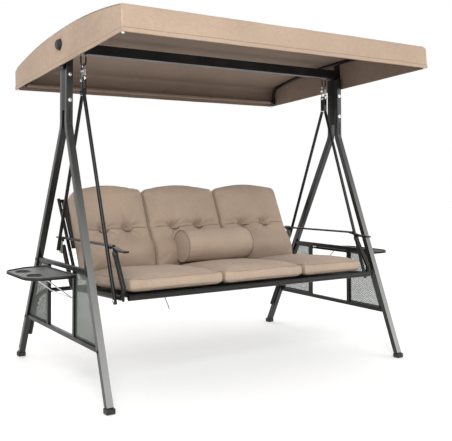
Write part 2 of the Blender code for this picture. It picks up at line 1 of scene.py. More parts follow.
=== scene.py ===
"""Looks of the canopy swing bench: cloth, cushions, mesh, hardware and finishes around the CAD frame.

Units are metres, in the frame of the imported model.  Left is -X, the bench faces -Y.
"""
import json
from math import acos, atan2, cos, exp, floor, pi, radians, sin, tan

import bmesh
import bpy
from mathutils import Matrix, Vector, noise
from mathutils.bvhtree import BVHTree


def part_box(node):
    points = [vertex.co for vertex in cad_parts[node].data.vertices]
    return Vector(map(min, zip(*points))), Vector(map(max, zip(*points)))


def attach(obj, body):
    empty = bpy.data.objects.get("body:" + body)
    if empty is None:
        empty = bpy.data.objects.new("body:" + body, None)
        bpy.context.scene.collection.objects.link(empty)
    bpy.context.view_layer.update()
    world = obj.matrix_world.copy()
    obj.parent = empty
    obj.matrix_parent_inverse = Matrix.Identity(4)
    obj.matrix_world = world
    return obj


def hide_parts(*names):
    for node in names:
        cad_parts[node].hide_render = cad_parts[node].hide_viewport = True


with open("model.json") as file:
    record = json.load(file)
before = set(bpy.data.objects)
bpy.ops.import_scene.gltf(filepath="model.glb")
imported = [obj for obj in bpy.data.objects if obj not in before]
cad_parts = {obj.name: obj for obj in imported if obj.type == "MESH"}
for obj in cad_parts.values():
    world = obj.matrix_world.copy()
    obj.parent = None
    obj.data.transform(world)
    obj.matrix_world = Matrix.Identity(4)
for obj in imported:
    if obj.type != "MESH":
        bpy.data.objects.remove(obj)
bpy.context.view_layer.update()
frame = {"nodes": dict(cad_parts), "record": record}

SIDES = (("left", -1), ("right", 1))
ENDS = (("front", -1), ("rear", 1))
scene = bpy.context.scene


# ---------------------------------------------------------------- camera, floor and light
def make_camera():
    """Standing height, in front of the bench's left corner."""
    data = bpy.data.cameras.new("camera")
    data.lens = 56.03
    data.sensor_width = 36.0
    data.sensor_fit = "HORIZONTAL"
    data.shift_x = 0.0802
    data.shift_y = -0.1372
    data.clip_end = 60.0
    camera = bpy.data.objects.new("camera", data)
    camera.location = (-2.2763, -3.3526, 1.0455)
    camera.rotation_euler = (pi / 2 + 0.0255, 0.0, -0.5584)
    scene.collection.objects.link(camera)
    scene.camera = camera


def area_light(name, location, target, size, power, color=(1, 1, 1)):
    data = bpy.data.lights.new(name, "AREA")
    data.shape = "DISK"
    data.size = size
    data.energy = power
    data.color = color
    light = bpy.data.objects.new(name, data)
    light.location = location
    light.rotation_euler = (Vector(target) - Vector(location)).to_track_quat("-Z", "Y").to_euler()
    scene.collection.objects.link(light)


def make_studio():
    scene.view_settings.view_transform = "Standard"
    world = bpy.data.worlds.new("studio")
    world.use_nodes = True
    background = world.node_tree.nodes["Background"]
    background.inputs["Color"].default_value = (1.0, 1.0, 1.0, 1.0)
    background.inputs["Strength"].default_value = 1.0
    scene.world = world
    area_light("key", (-3.6, -5.2, 4.2), (0.0, 0.0, 0.8), 2.6, 230, (1.0, 0.985, 0.96))
    area_light("fill", (4.6, -4.0, 2.4), (0.2, 0.0, 0.8), 3.5, 50, (0.96, 0.98, 1.0))
    area_light("back", (0.5, 4.8, 3.8), (0.0, 0.2, 0.8), 3.5, 70)
    mesh = bpy.data.meshes.new("floor")
    shape = bmesh.new()
    bmesh.ops.create_grid(shape, x_segments=1, y_segments=1, size=20.0)
    shape.to_mesh(mesh)
    shape.free()
    ground = bpy.data.objects.new("floor", mesh)
    ground.location.z = -0.001
    scene.collection.objects.link(ground)
    paint = bpy.data.materials.new("pale_floor")
    paint.use_nodes = True
    shader = paint.node_tree.nodes["Principled BSDF"]
    shader.inputs["Base Color"].default_value = (0.86, 0.86, 0.85, 1.0)
    shader.inputs["Roughness"].default_value = 0.9
    shader.inputs["Emission Color"].default_value = (1.0, 1.0, 1.0, 1.0)
    shader.inputs["Emission Strength"].default_value = 0.16
    mesh.materials.append(paint)


# ---------------------------------------------------------------- materials
class Shader:
    """A node material under construction, in object coordinates."""

    def __init__(self, name, roughness, metallic=0.0, **constants):
        self.material = bpy.data.materials.new(name)
        self.material.use_nodes = True
        self.tree = self.material.node_tree
        self.surface = self.tree.nodes["Principled BSDF"]
        self.surface.inputs["Roughness"].default_value = roughness
        self.surface.inputs["Metallic"].default_value = metallic
        for socket, value in constants.items():
            self.surface.inputs[socket.replace("_", " ")].default_value = value
        self.place = self.tree.nodes.new("ShaderNodeTexCoord").outputs["Object"]

    def node(self, kind, inputs=None, **settings):
        made = self.tree.nodes.new(kind)
        for key, value in settings.items():
            setattr(made, key, value)
        for key, value in (inputs or {}).items():
            if isinstance(value, bpy.types.NodeSocket):
                self.tree.links.new(value, made.inputs[key])
            else:
                made.inputs[key].default_value = value
        return made

    def noise(self, scale, detail=3.0, stretch=(1, 1, 1), roughness=0.5):
        mapped = self.node("ShaderNodeMapping", {"Vector": self.place, "Scale": stretch}).outputs[0]
        inputs = {"Vector": mapped, "Scale": scale, "Detail": detail, "Roughness": roughness}
        return self.node("ShaderNodeTexNoise", inputs).outputs["Fac"]

    def maths(self, operation, a, b=0.0):
        return self.node("ShaderNodeMath", {0: a, 1: b}, operation=operation).outputs[0]

    def spread(self, value, low, high, low_from=0.0, high_from=1.0):
        inputs = {"Value": value, "From Min": low_from, "From Max": high_from,
                  "To Min": low, "To Max": high}
        return self.node("ShaderNodeMapRange", inputs).outputs["Result"]

    def mix(self, share, a, b, blend="MIX"):
        made = self.node("ShaderNodeMix", data_type="RGBA", blend_type=blend)
        for index, value in ((0, share), (6, a), (7, b)):
            if isinstance(value, bpy.types.NodeSocket):
                self.tree.links.new(value, made.inputs[index])
            else:
                made.inputs[index].default_value = value
        return made.outputs[2]

    def threads(self, pitch):
        """Height of a plain weave, 0 to 1: uneven threads that cross, long one way and narrow the other."""
        across = self.noise(1.0 / pitch, 1.0, (1.0, 0.12, 0.12))
        along = self.noise(1.0 / pitch, 1.0, (0.12, 1.0, 1.0))
        return self.maths("MULTIPLY", self.maths("ADD", across, along), 0.5)

    def colour(self, value):
        self.tree.links.new(value, self.surface.inputs["Base Color"])

    def roughness(self, value):
        self.tree.links.new(value, self.surface.inputs["Roughness"])

    def bump(self, height, strength, distance):
        made = self.node("ShaderNodeBump", {"Height": height, "Strength": strength, "Distance": distance})
        self.tree.links.new(made.outputs[0], self.surface.inputs["Normal"])


def rgb(r, g, b):
    return (r, g, b, 1.0)


def cloth_material(name, color, pitch, sheen, wear=0.12, bump=0.35):
    """Woven polyester: threads, small slubs and a slight unevenness of the dye."""
    s = Shader(name, 0.88, Sheen_Weight=sheen, Sheen_Roughness=0.5, Specular_IOR_Level=0.25)
    weave = s.threads(pitch)
    slubs = s.noise(420.0, 2.0, (1.0, 1.0, 0.25))
    patches = s.noise(3.2, 4.0)
    dark = tuple(c * (1.0 - wear) for c in color)
    light = tuple(min(1.0, c * (1.0 + wear * 0.55)) for c in color)
    base = s.mix(s.spread(patches, 0.0, 1.0, 0.3, 0.7), rgb(*dark), rgb(*light))
    threads = s.spread(weave, 0.88, 1.08, 0.3, 0.7)
    grain = s.maths("MULTIPLY", threads, s.spread(slubs, 0.93, 1.06))
    grey = s.node("ShaderNodeCombineColor", {0: grain, 1: grain, 2: grain}).outputs[0]
    s.colour(s.mix(1.0, base, grey, "MULTIPLY"))
    s.roughness(s.spread(slubs, 0.80, 0.95))
    s.bump(s.maths("ADD", weave, s.maths("MULTIPLY", slubs, 0.5)), bump, 0.0006)
    return s.material


def painted_front_sheen(s, coat, front_sheen):
    """The coat with a painted sheen: lighter grey where a raked face looks forward, most of all low down, in
    place of reflected light.
    """
    facing = s.node("ShaderNodeSeparateXYZ", {0: s.node("ShaderNodeNewGeometry").outputs["Normal"]}).outputs
    place = s.node("ShaderNodeSeparateXYZ", {0: s.place}).outputs
    raked = s.maths("MULTIPLY", s.spread(facing[2], 0.0, 1.0, 0.20, 0.34),
                    s.spread(facing[1], 0.0, 1.0, -0.60, -0.88))
    return s.mix(s.maths("MULTIPLY", raked, s.spread(place[2], 1.0, 0.08, 0.10, 1.05)), coat, rgb(*front_sheen))


def powder_coat(name, color, roughness=0.36, fleck=0.35, gloss=0.08, front_sheen=None):
    """Powder-coated steel: orange peel, faint fleck and rubbed places; given a sheen colour, also a painted
    sheen on raked faces that look forward.
    """
    s = Shader(name, roughness, 0.0, Coat_Weight=gloss, Coat_Roughness=0.22, Specular_IOR_Level=0.27)
    peel = s.noise(520.0, 2.0)
    handling = s.noise(7.0, 5.0)
    rubbed = tuple(min(1.0, c * 1.9 + 0.004) for c in color)
    share = s.spread(handling, 0.0, 1.0, 0.46, 0.80)
    fine = s.spread(peel, 0.0, fleck, 0.62, 0.85)
    coat = s.mix(s.maths("MAXIMUM", s.maths("MULTIPLY", share, 0.6), fine), rgb(*color), rgb(*rubbed))
    s.colour(painted_front_sheen(s, coat, front_sheen) if front_sheen else coat)
    s.roughness(s.spread(handling, roughness - 0.07, roughness + 0.12, 0.3, 0.7))
    s.bump(peel, 0.22, 0.0005)
    return s.material


def moulded_plastic(name, color):
    """Moulded plastic with a fine spark-eroded grain."""
    s = Shader(name, 0.5, Specular_IOR_Level=0.45)
    grain = s.noise(900.0, 3.0)
    broad = s.noise(14.0, 3.0)
    lighter = tuple(c * 1.9 for c in color)
    s.colour(s.mix(s.spread(broad, 0.0, 0.7, 0.35, 0.75), rgb(*color), rgb(*lighter)))
    s.roughness(s.spread(grain, 0.42, 0.60, 0.3, 0.7))
    s.bump(grain, 0.35, 0.0004)
    return s.material


def bright_metal(name, color, roughness):
    """Zinc-plated or chromed steel with drawing marks and dull patches."""
    s = Shader(name, roughness, 1.0)
    marks = s.noise(160.0, 3.0, (1.0, 1.0, 0.15))
    dull = s.noise(45.0, 3.0)
    greyer = tuple(c * 0.72 for c in color)
    s.colour(s.mix(s.spread(dull, 0.0, 1.0, 0.42, 0.72), rgb(*color), rgb(*greyer)))
    s.roughness(s.spread(marks, roughness, roughness + 0.18, 0.3, 0.7))
    s.bump(marks, 0.12, 0.0003)
    return s.material


STEEL = powder_coat("powder_coated_steel", (0.0045, 0.0045, 0.0042), roughness=0.36)
# Legs: painted sheen, lighter grey on the raked front faces and most of all low down, standing in for
# reflected light.
LEG_STEEL = powder_coat("powder_coated_leg", (0.007, 0.007, 0.0066), roughness=0.30, gloss=0.45,
                        front_sheen=(0.250, 0.252, 0.244))
BRACKET = powder_coat("grey_bracket", (0.13, 0.13, 0.125), roughness=0.42)
GROOVE = powder_coat("pressed_groove", (0.008, 0.008, 0.008), roughness=0.5)
PLASTIC = moulded_plastic("black_plastic", (0.013, 0.013, 0.012))
TRAY_PLASTIC = moulded_plastic("tray_plastic", (0.020, 0.021, 0.019))
CHROME = bright_metal("chrome", (0.74, 0.75, 0.76), 0.12)
ZINC = bright_metal("zinc_wire", (0.70, 0.71, 0.72), 0.24)
CANOPY_CLOTH = cloth_material("canopy_cloth", (0.400, 0.297, 0.222), 0.0022, 0.05)
# The canopy cloth made darker for its underside and the rail pockets: painted shade under the cover.
CANOPY_UNDERSIDE_SHADE = cloth_material("canopy_underside_painted_shade", (0.215, 0.158, 0.122), 0.0022, 0.0)
CANOPY_PIPING = cloth_material("canopy_piping", (0.520, 0.400, 0.305), 0.0022, 0.05)
CUSHION_CLOTH = cloth_material("cushion_cloth", (0.395, 0.302, 0.232), 0.0018, 0.10)
PIPING_CLOTH = cloth_material("piping_cloth", (0.270, 0.203, 0.155), 0.0018, 0.08)
# Dark thread of the tufts; also the cord along the back cushions' crease, where the dark colour is painted
# shade of the crease.
TUFT_THREAD_AND_CREASE_SHADE = cloth_material("tuft_thread_and_crease_shade", (0.120, 0.085, 0.062), 0.0012, 0.03)
SLING_CLOTH = cloth_material("sling_cloth", (0.050, 0.046, 0.040), 0.0030, 0.05, wear=0.2, bump=0.6)
MESH_THREAD = cloth_material("mesh_thread", (0.105, 0.122, 0.104), 0.0015, 0.05, wear=0.15)
MESH_HEM = cloth_material("mesh_hem", (0.055, 0.060, 0.052), 0.0020, 0.05, wear=0.15)
TIE_CORD = cloth_material("tie_cord", (0.075, 0.055, 0.042), 0.0010, 0.05, wear=0.2)


# ---------------------------------------------------------------- general helpers
def finish_piece(obj, body, *materials):
    """Give a piece its materials and the body it rides on."""
    if obj.name not in scene.collection.objects:
        scene.collection.objects.link(obj)
    faces = obj.data.polygons if obj.type == "MESH" and len(materials) > 1 else []
    kept = [face.material_index for face in faces]
    obj.data.materials.clear()
    for material in materials:
        obj.data.materials.append(material)
    for face, index in zip(faces, kept):
        face.material_index = index
    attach(obj, body)
    return obj


def new_object(name, shape):
    """An object from a bmesh, which is freed."""
    mesh = bpy.data.meshes.new(name)
    shape.to_mesh(mesh)
    shape.free()
    obj = bpy.data.objects.new(name, mesh)
    scene.collection.objects.link(obj)
    return obj


def shade_smooth(obj, angle=40.0):
    obj.data.shade_smooth()
    obj.data.set_sharp_from_angle(angle=radians(angle))


def evaluated_copy(obj):
    """The object's mesh with its modifiers worked in; the modifiers are removed."""
    bpy.context.view_layer.update()
    evaluated = obj.evaluated_get(bpy.context.evaluated_depsgraph_get())
    mesh = bpy.data.meshes.new_from_object(evaluated)
    old = obj.data
    obj.modifiers.clear()
    obj.data = mesh
    bpy.data.meshes.remove(old)
    return obj


def modified(obj, title, kind, **settings):
    """Work one modifier into the object's mesh."""
    made = obj.modifiers.new(title, kind)
    for key, value in settings.items():
        setattr(made, key, value)
    return evaluated_copy(obj)


def refined(node, material, edge=0.0, segments=2, angle=40.0):
    """A finer piece in place of a CAD node: its shape with welded, rounded and smoothly shaded edges."""
    source = frame["nodes"][node]
    mesh = source.data.copy()
    imported = mesh.attributes.get("custom_normal")
    if imported:
        mesh.attributes.remove(imported)
    shape = bmesh.new()
    shape.from_mesh(mesh)
    bmesh.ops.remove_doubles(shape, verts=shape.verts, dist=0.00002)
    bmesh.ops.dissolve_limit(shape, angle_limit=radians(0.5), verts=shape.verts, edges=shape.edges)
    shape.to_mesh(mesh)
    shape.free()
    piece = bpy.data.objects.new(f"{node}_finish", mesh)
    scene.collection.objects.link(piece)
    if edge:
        modified(piece, "rounded edges", "BEVEL", width=edge, segments=segments, limit_method="ANGLE",
                 angle_limit=radians(angle))
    shade_smooth(piece, 38.0)
    weighted = piece.modifiers.new("large faces stay flat", "WEIGHTED_NORMAL")
    weighted.keep_sharp = True
    weighted.weight = 80
    finish_piece(piece, frame_body(node), material)
    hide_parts(node)
    return piece


def frame_body(node):
    bodies = frame["record"]["behaviour"]["bodies"]
    return next(body for body, members in bodies.items() if node in members)


def smooth_path(points, steps):
    """A smooth curve through the points (Catmull-Rom)."""
    points = [Vector(p) for p in points]
    padded = [2 * points[0] - points[1], *points, 2 * points[-1] - points[-2]]
    result = []
    for i in range(1, len(padded) - 2):
        a, b, c, d = padded[i - 1:i + 3]
        for k in range(steps):
            t = k / steps
            result.append(0.5 * (2 * b + (c - a) * t + (2 * a - 5 * b + 4 * c - d) * t ** 2
                                 + (3 * b - a - 3 * c + d) * t ** 3))
    result.append(points[-1])
    return result


def wire(name, points, radius, material, body, closed=False, resolution=3):
    """A round bar or cord along a path."""
    curve = bpy.data.curves.new(name, "CURVE")
    curve.dimensions = "3D"
    curve.bevel_depth = radius
    curve.bevel_resolution = resolution
    curve.use_fill_caps = not closed
    spline = curve.splines.new("POLY")
    spline.points.add(len(points) - 1)
    spline.use_cyclic_u = closed
    spline.use_smooth = True
    for target, point in zip(spline.points, points):
        target.co = (*point, 1.0)
    obj = bpy.data.objects.new(name, curve)
    return finish_piece(obj, body, material)


def spoke(k, count, radius):
    """Point k of count round a circle."""
    angle = 2 * pi * k / count
    return radius * cos(angle), radius * sin(angle)


# Profiles of turned pieces: (radius, distance along the axis).
EYELET = [(0.012, 0.0), (0.030, 0.0), (0.031, 0.0005), (0.029, 0.0007), (0.012, 0.0007), (0.012, 0.0)]
CORNER_SCREW = [(0.0, 0.0), (0.0075, 0.0), (0.0080, 0.002), (0.0080, 0.010), (0.0050, 0.013), (0.0, 0.014)]
TRAY_PIN = [(0.0, 0.0095), (0.0030, 0.0092), (0.0036, 0.0075),
            (0.0036, -0.0075), (0.0030, -0.0092), (0.0, -0.0095)]
SLEEVE = [(0.0, 0.0), (0.0078, 0.0), (0.0088, 0.0015), (0.0088, 0.0165), (0.0078, 0.018), (0.0, 0.018)]
NUT = [(0.0, 0.0), (0.0078, 0.0), (0.0078, 0.0055), (0.0062, 0.0068), (0.0, 0.0068)]
ROD_PLUG = [(0.0, 0.0), (0.0095, 0.0), (0.0099, 0.002), (0.0080, 0.006), (0.0, 0.007)]
SEAT_PLUG = [(0.0, 0.0), (0.0118, 0.0), (0.0135, 0.002), (0.0135, 0.005), (0.0, 0.0055)]
BACK_PLUG = [(0.0, 0.0), (0.0100, 0.0), (0.0102, 0.002), (0.0080, 0.005), (0.0, 0.006)]
COLLAR = [(0.0, 0.0), (0.0140, 0.0), (0.0146, 0.002), (0.0146, 0.016), (0.0140, 0.018), (0.0, 0.018)]
NECK = [(0.0, 0.0), (0.0078, 0.0), (0.0078, 0.022), (0.0, 0.023)]


def turned(name, profile, centre, direction, material, body, steps=24):
    """A turned piece; profile is (radius, distance along the axis), from one end to the other."""
    shape = bmesh.new()
    rings = []
    for radius, height in profile:
        count = 1 if radius < 1e-6 else steps
        rings.append([shape.verts.new((*spoke(k, steps, radius), height)) for k in range(count)])
    for a, b in zip(rings, rings[1:]):
        for k in range(steps):
            face = [a[k % len(a)], a[(k + 1) % len(a)], b[(k + 1) % len(b)], b[k % len(b)]]
            face = list(dict.fromkeys(face))
            if len(face) > 2:
                shape.faces.new(face)
    bmesh.ops.recalc_face_normals(shape, faces=shape.faces)
    obj = new_object(name, shape)
    turn = Vector((0, 0, 1)).rotation_difference(Vector(direction).normalized())
    obj.data.transform(Matrix.Translation(centre) @ turn.to_matrix().to_4x4())
    shade_smooth(obj, 35.0)
    return finish_piece(obj, body, material)


def slab(name, size, centre, material, body, turn=None, edge=0.002, segments=2):
    """A small block with rounded edges."""
    shape = bmesh.new()
    bmesh.ops.create_cube(shape, size=1.0)
    bmesh.ops.scale(shape, vec=size, verts=shape.verts)
    bmesh.ops.bevel(shape, geom=list(shape.edges), offset=edge, segments=segments, profile=0.5,
                    affect="EDGES")
    obj = new_object(name, shape)
    place = Matrix.Translation(centre)
    if turn is not None:
        place = place @ turn
    obj.data.transform(place)
    shade_smooth(obj, 35.0)
    return finish_piece(obj, body, material)


def grid_surface(name, columns, rows, point, closed_columns=False):
    """A sheet of quads: point(i, j) gives each corner for i in 0..columns and j in 0..rows."""
    shape = bmesh.new()
    width = columns if closed_columns else columns + 1
    verts = [[shape.verts.new(point(i, j)) for j in range(rows + 1)] for i in range(width)]
    for i in range(columns):
        for j in range(rows):
            a, b = verts[i], verts[(i + 1) % width]
            shape.faces.new((a[j], b[j], b[j + 1], a[j + 1]))
    return new_object(name, shape)


def bolt_head(name, centre, direction, material, body, radius=0.0065):
    """Domed head with a washer, its flat side on the surface at centre."""
    profile = [(0.0, 0.0046), (radius * 0.45, 0.0044), (radius * 0.8, 0.0036), (radius, 0.0018),
               (radius, 0.0012), (radius * 1.45, 0.0011), (radius * 1.5, 0.0002), (0.0, 0.0)]
    return turned(name, profile, centre, direction, material, body, 20)


make_camera()


# ---------------------------------------------------------------- cushion tie (the one free cord)
def make_tie():
    route = [(-0.5760, -0.402, 0.4740), (-0.5745, -0.402, 0.4660), (-0.5720, -0.402, 0.4580),
             (-0.5685, -0.402, 0.4500), (-0.5645, -0.402, 0.4420), (-0.5605, -0.402, 0.4330),
             (-0.5565, -0.402, 0.4240), (-0.5530, -0.402, 0.4150), (-0.5505, -0.402, 0.4060)]
    path = smooth_path(route, 2)
    tie = wire("cushion_tie_cord", path, 0.002, TIE_CORD, "swing")
    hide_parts("cushion_tie")


make_tie()
make_studio()

# ---------------------------------------------------------------- canopy
PIVOT = Vector((0.0, 0.0, 1.712))
TILT = Matrix.Translation(PIVOT) @ Matrix.Rotation(radians(-4.2), 4, "X")
HALF_X, HALF_Y = 0.958, 0.700
HEM_Z, EDGE_Z, RISE = -0.107, 0.018, 0.061
CLOTH = 0.0026
HEM_WIDE = 0.017
RAIL_Y, RAIL_Z = 0.655, -0.083                # of the front and rear rails


def top_height(y):
    return EDGE_Z + RISE * (1 - min(1.0, abs(y / HALF_Y)) ** 2.2)


def canopy_ripple(p, hang):
    """Small unevenness of the stretched cloth; hang is 0 on top and 1 at the hem."""
    broad = noise.noise(Vector((p.x * 1.7, p.y * 2.3, 3.0))) * 0.0035
    drawn = noise.noise(Vector((p.x * 9.0, p.y * 3.0 + p.z * 2.0, 7.0))) * 0.0016
    flutter = sin(p.x * 21.0 + 1.5 * sin(p.x * 5.0)) * 0.0016 * hang + sin(p.y * 17.0) * 0.0012 * hang
    return broad * (0.4 + 0.4 * hang) + drawn + flutter


def make_canopy():
    """One continuous cover: arched top, rounded edges and a hanging border on all four sides."""
    columns, rows, arc_steps, drop_steps = 64, 44, 4, 7
    round_x, round_y = 0.020, 0.028
    inner_x, inner_y = HALF_X - round_x, HALF_Y - round_y
    shape = bmesh.new()
    top = []
    for i in range(columns + 1):
        line = []
        for j in range(rows + 1):
            x = inner_x * (2 * i / columns - 1)
            y = inner_y * (2 * j / rows - 1)
            sag = 0.005 * (1 - (x / inner_x) ** 2) * (1 - abs(y / inner_y) ** 4)
            line.append(shape.verts.new((x, y, top_height(y) - sag)))
        top.append(line)
    for i in range(columns):
        for j in range(rows):
            shape.faces.new((top[i][j], top[i + 1][j], top[i + 1][j + 1], top[i][j + 1]))
    loop = ([(i, 0) for i in range(columns)] + [(columns, j) for j in range(rows)]
            + [(i, rows) for i in range(columns, 0, -1)] + [(0, j) for j in range(rows, 0, -1)])
    previous = [top[i][j] for i, j in loop]
    hangs = []
    for step in range(1, arc_steps + drop_steps + 1):
        ring = []
        for i, j in loop:
            start = top[i][j].co
            out_x = (i == columns) - (i == 0)
            out_y = (j == rows) - (j == 0)
            radius = round_y if out_y else round_x
            angle = min(1.0, step / arc_steps) * pi / 2
            low = start.z - radius
            share = max(0.0, (step - arc_steps) / drop_steps)
            z = start.z - radius * (1 - cos(angle)) if step <= arc_steps else low + (HEM_Z - low) * share
            x, y = start.x + out_x * round_x * sin(angle), start.y + out_y * round_y * sin(angle)
            ring.append(shape.verts.new((x, y, z)))
            hangs.append((ring[-1], share))
        for k in range(len(loop)):
            n = (k + 1) % len(loop)
            shape.faces.new((previous[k], ring[k], ring[n], previous[n]))
        previous = ring
    bmesh.ops.recalc_face_normals(shape, faces=shape.faces)
    hang_of = {vert: share for vert, share in hangs}
    shape.normal_update()
    moved = {v: v.normal * canopy_ripple(v.co, hang_of.get(v, 0.0)) for v in shape.verts}
    for vert, shift in moved.items():
        vert.co += shift
    area = sum(f.calc_area() for f in shape.faces)
    cover = new_object("canopy_cloth_cover", shape)
    cover.data.transform(TILT)
    cover.data.materials.append(CANOPY_CLOTH)
    # The inner faces take the darker underside cloth: painted shade.
    cover.data.materials.append(CANOPY_UNDERSIDE_SHADE)
    modified(cover, "cloth thickness", "SOLIDIFY", thickness=CLOTH, offset=-1, use_even_offset=True,
             material_offset=1, material_offset_rim=0)
    shade_smooth(cover, 50.0)
    finish_piece(cover, "canopy", CANOPY_CLOTH, CANOPY_UNDERSIDE_SHADE)
    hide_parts("canopy_cover")
    return cover, area


def border_ring(offset, height_share=0.995, count_x=60, count_y=44):
    """Points round the hanging border, a share of the way down from the top edge, in canopy coordinates."""
    points = []
    corners = [(-1, -1, 1, 0, count_x), (1, -1, 0, 1, count_y),
               (1, 1, -1, 0, count_x), (-1, 1, 0, -1, count_y)]
    for sx, sy, dx, dy, count in corners:
        for k in range(count):
            x = sx * HALF_X + dx * 2 * HALF_X * k / count
            y = sy * HALF_Y + dy * 2 * HALF_Y * k / count
            top = top_height(y) - 0.02
            base = Vector((x, y, top + (HEM_Z - top) * height_share))
            points.append(base + Vector((dy, -dx, 0)) * (offset + canopy_ripple(base, height_share)))
    return points


def make_hem():
    """Turned-up hem: a second layer along the lower edge, with its line of stitches."""
    lower = border_ring(0.0007)
    upper = [p + Vector((0, 0, HEM_WIDE)) for p in lower]
    middle = [a.lerp(b, 0.5) for a, b in zip(lower, upper)]
    count = len(lower)
    outward = []
    for k in range(count):
        along = (lower[(k + 1) % count] - lower[k - 1]).normalized()
        outward.append(Vector((along.y, -along.x, 0)))
    lines = [(lower, 0.0), (middle, 0.0011), (upper, 0.0)]

    def point(i, j):
        line, out = lines[j]
        return line[i] + outward[i] * out

    band = grid_surface("canopy_hem", count, 2, point, True)
    band.data.transform(TILT)
    modified(band, "folded cloth", "SOLIDIFY", thickness=0.0012, offset=1)
    shade_smooth(band, 60.0)
    finish_piece(band, "canopy", CANOPY_CLOTH)
    return band


def make_canopy_seams():
    """Piped seams where the end panels meet the top, and down the four corners."""
    made = []
    for side, s in SIDES:
        line = []
        for k in range(41):
            y = (HALF_Y - 0.020) * (2 * k / 40 - 1)
            line.append(TILT @ Vector((s * (HALF_X - 0.0045), y, top_height(y) - 0.0042)))
        made.append(wire(f"canopy_end_seam_{side}", line, 0.0019, CANOPY_CLOTH, "canopy", resolution=2))
        for place, way in ENDS:
            corner = [TILT @ Vector((s * (HALF_X - 0.001), way * (HALF_Y - 0.001), z))
                      for z in (-0.012, -0.045, -0.080, -0.104)]
            made.append(wire(f"canopy_corner_seam_{place}_{side}", corner, 0.0021, CANOPY_PIPING, "canopy",
                             resolution=2))
    return made


def make_rail_pockets():
    """The front and rear rails run in pockets sewn along the inside of the border."""
    pockets = []
    for place, way in ENDS:
        line = []
        for k in range(49):
            x = 0.905 * (2 * k / 48 - 1)
            slack = 0.0009 * noise.noise(Vector((x * 14, way, 0)))
            line.append(TILT @ Vector((x, way * RAIL_Y + slack, RAIL_Z - abs(slack))))
        # The pockets are in the darker underside cloth: painted shade.
        pockets.append(wire(f"rail_pocket_{place}", line, 0.0118, CANOPY_UNDERSIDE_SHADE, "canopy", resolution=4))
    return pockets


def make_hem_stitches():
    """Two rows of stitching above the hem."""
    rows = []
    for number, height in enumerate((0.0150, 0.0185)):
        ring = [TILT @ (p + Vector((0, 0, height))) for p in border_ring(0.0006)]
        rows.append(wire(f"hem_stitches_{number + 1}", ring, 0.0009, PIPING_CLOTH, "canopy", closed=True,
                         resolution=1))
    return rows


def make_canopy_hardware():
    """Eyelets round the knobs and the bright screws in the corners of the frame."""
    for side, s in SIDES:
        centre = TILT @ Vector((s * (HALF_X + 0.0002), 0, 0))
        turned(f"canopy_eyelet_{side}", EYELET, centre - Vector((s * 0.0004, 0, 0)), (s, 0, 0), PLASTIC,
               "canopy", 32)
        for place, way in ENDS:
            spot = TILT @ Vector((s * (HALF_X - 0.012), way * (HALF_Y - 0.012), HEM_Z + 0.006))
            turned(f"corner_screw_{place}_{side}", CORNER_SCREW, spot, (s * 0.3, way * 0.3, -0.9), CHROME,
                   "canopy", 18)


canopy, canopy_area = make_canopy()
hem = make_hem()
seams = make_canopy_seams() + make_hem_stitches() + make_rail_pockets()
make_canopy_hardware()


# ---------------------------------------------------------------- cushions
def rounded_block(name, size, radius, cuts=(14, 14, 5), top=None):
    """A closed block of quads with rounded edges, centred on the origin; top(x) raises its upper end."""
    shape = bmesh.new()
    half = Vector(size) / 2
    index = {}

    def vertex(i, j, k):
        if (i, j, k) not in index:
            p = Vector([half[a] * (2 * n / cuts[a] - 1) for a, n in enumerate((i, j, k))])
            core = Vector([max(-(half[a] - radius), min(half[a] - radius, p[a])) for a in range(3)])
            away = p - core
            if away.length > 1e-9:
                p = core + away.normalized() * radius
            index[(i, j, k)] = shape.verts.new(p)
        return index[(i, j, k)]

    for axis in range(3):
        u, v = (axis + 1) % 3, (axis + 2) % 3
        for side in (0, cuts[axis]):
            for a in range(cuts[u]):
                for b in range(cuts[v]):
                    corners = []
                    for da, db in ((0, 0), (1, 0), (1, 1), (0, 1)):
                        spot = [0, 0, 0]
                        spot[axis], spot[u], spot[v] = side, a + da, b + db
                        corners.append(vertex(*spot))
                    shape.faces.new(corners)
    if top:
        for vert in shape.verts:
            share = (vert.co.y + half.y) / (2 * half.y)
            vert.co.y += top(vert.co.x) * max(0.0, share) ** 1.5
    bmesh.ops.recalc_face_normals(shape, faces=shape.faces)
    return new_object(name, shape)


def remeshed(obj, voxel=0.009):
    """Even quads all over, as the cloth simulation needs."""
    return modified(obj, "even quads", "REMESH", mode="VOXEL", voxel_size=voxel)


CLOTH_FRAMES = 20
PAD_INSET = 0.007                            # the block starts this much inside the finished cushion


def inflated(obj, pins, pressure, cap, stiffness=15.0):
    """Blow the cover up with a cloth simulation; pins maps a point to how firmly it is held, 0 to 1."""
    start = [v.co.copy() for v in obj.data.vertices]
    group = obj.vertex_groups.new(name="held")
    for vert in obj.data.vertices:
        hold = pins(vert.co)
        if hold > 0.0:
            group.add([vert.index], hold, "REPLACE")
    cloth = obj.modifiers.new("cloth", "CLOTH")
    settings = cloth.settings
    settings.quality = 4
    settings.mass = 0.25
    settings.tension_stiffness = stiffness
    settings.compression_stiffness = stiffness
    settings.shear_stiffness = 4.0
    settings.bending_stiffness = 0.25
    settings.use_pressure = True
    settings.uniform_pressure_force = pressure
    settings.vertex_group_mass = "held"
    settings.effector_weights.gravity = 0.0
    cloth.collision_settings.use_collision = False
    cloth.point_cache.frame_start = 1
    cloth.point_cache.frame_end = CLOTH_FRAMES
    for number in range(1, CLOTH_FRAMES + 1):
        scene.frame_set(number)
    evaluated_copy(obj)
    scene.frame_set(1)
    for vert, origin in zip(obj.data.vertices, start):
        shift = vert.co - origin
        if shift.length > cap:
            vert.co = origin + shift * (cap / shift.length)
    return obj


def subdivided(obj):
    return modified(obj, "finer", "SUBSURF", levels=1, render_levels=1)


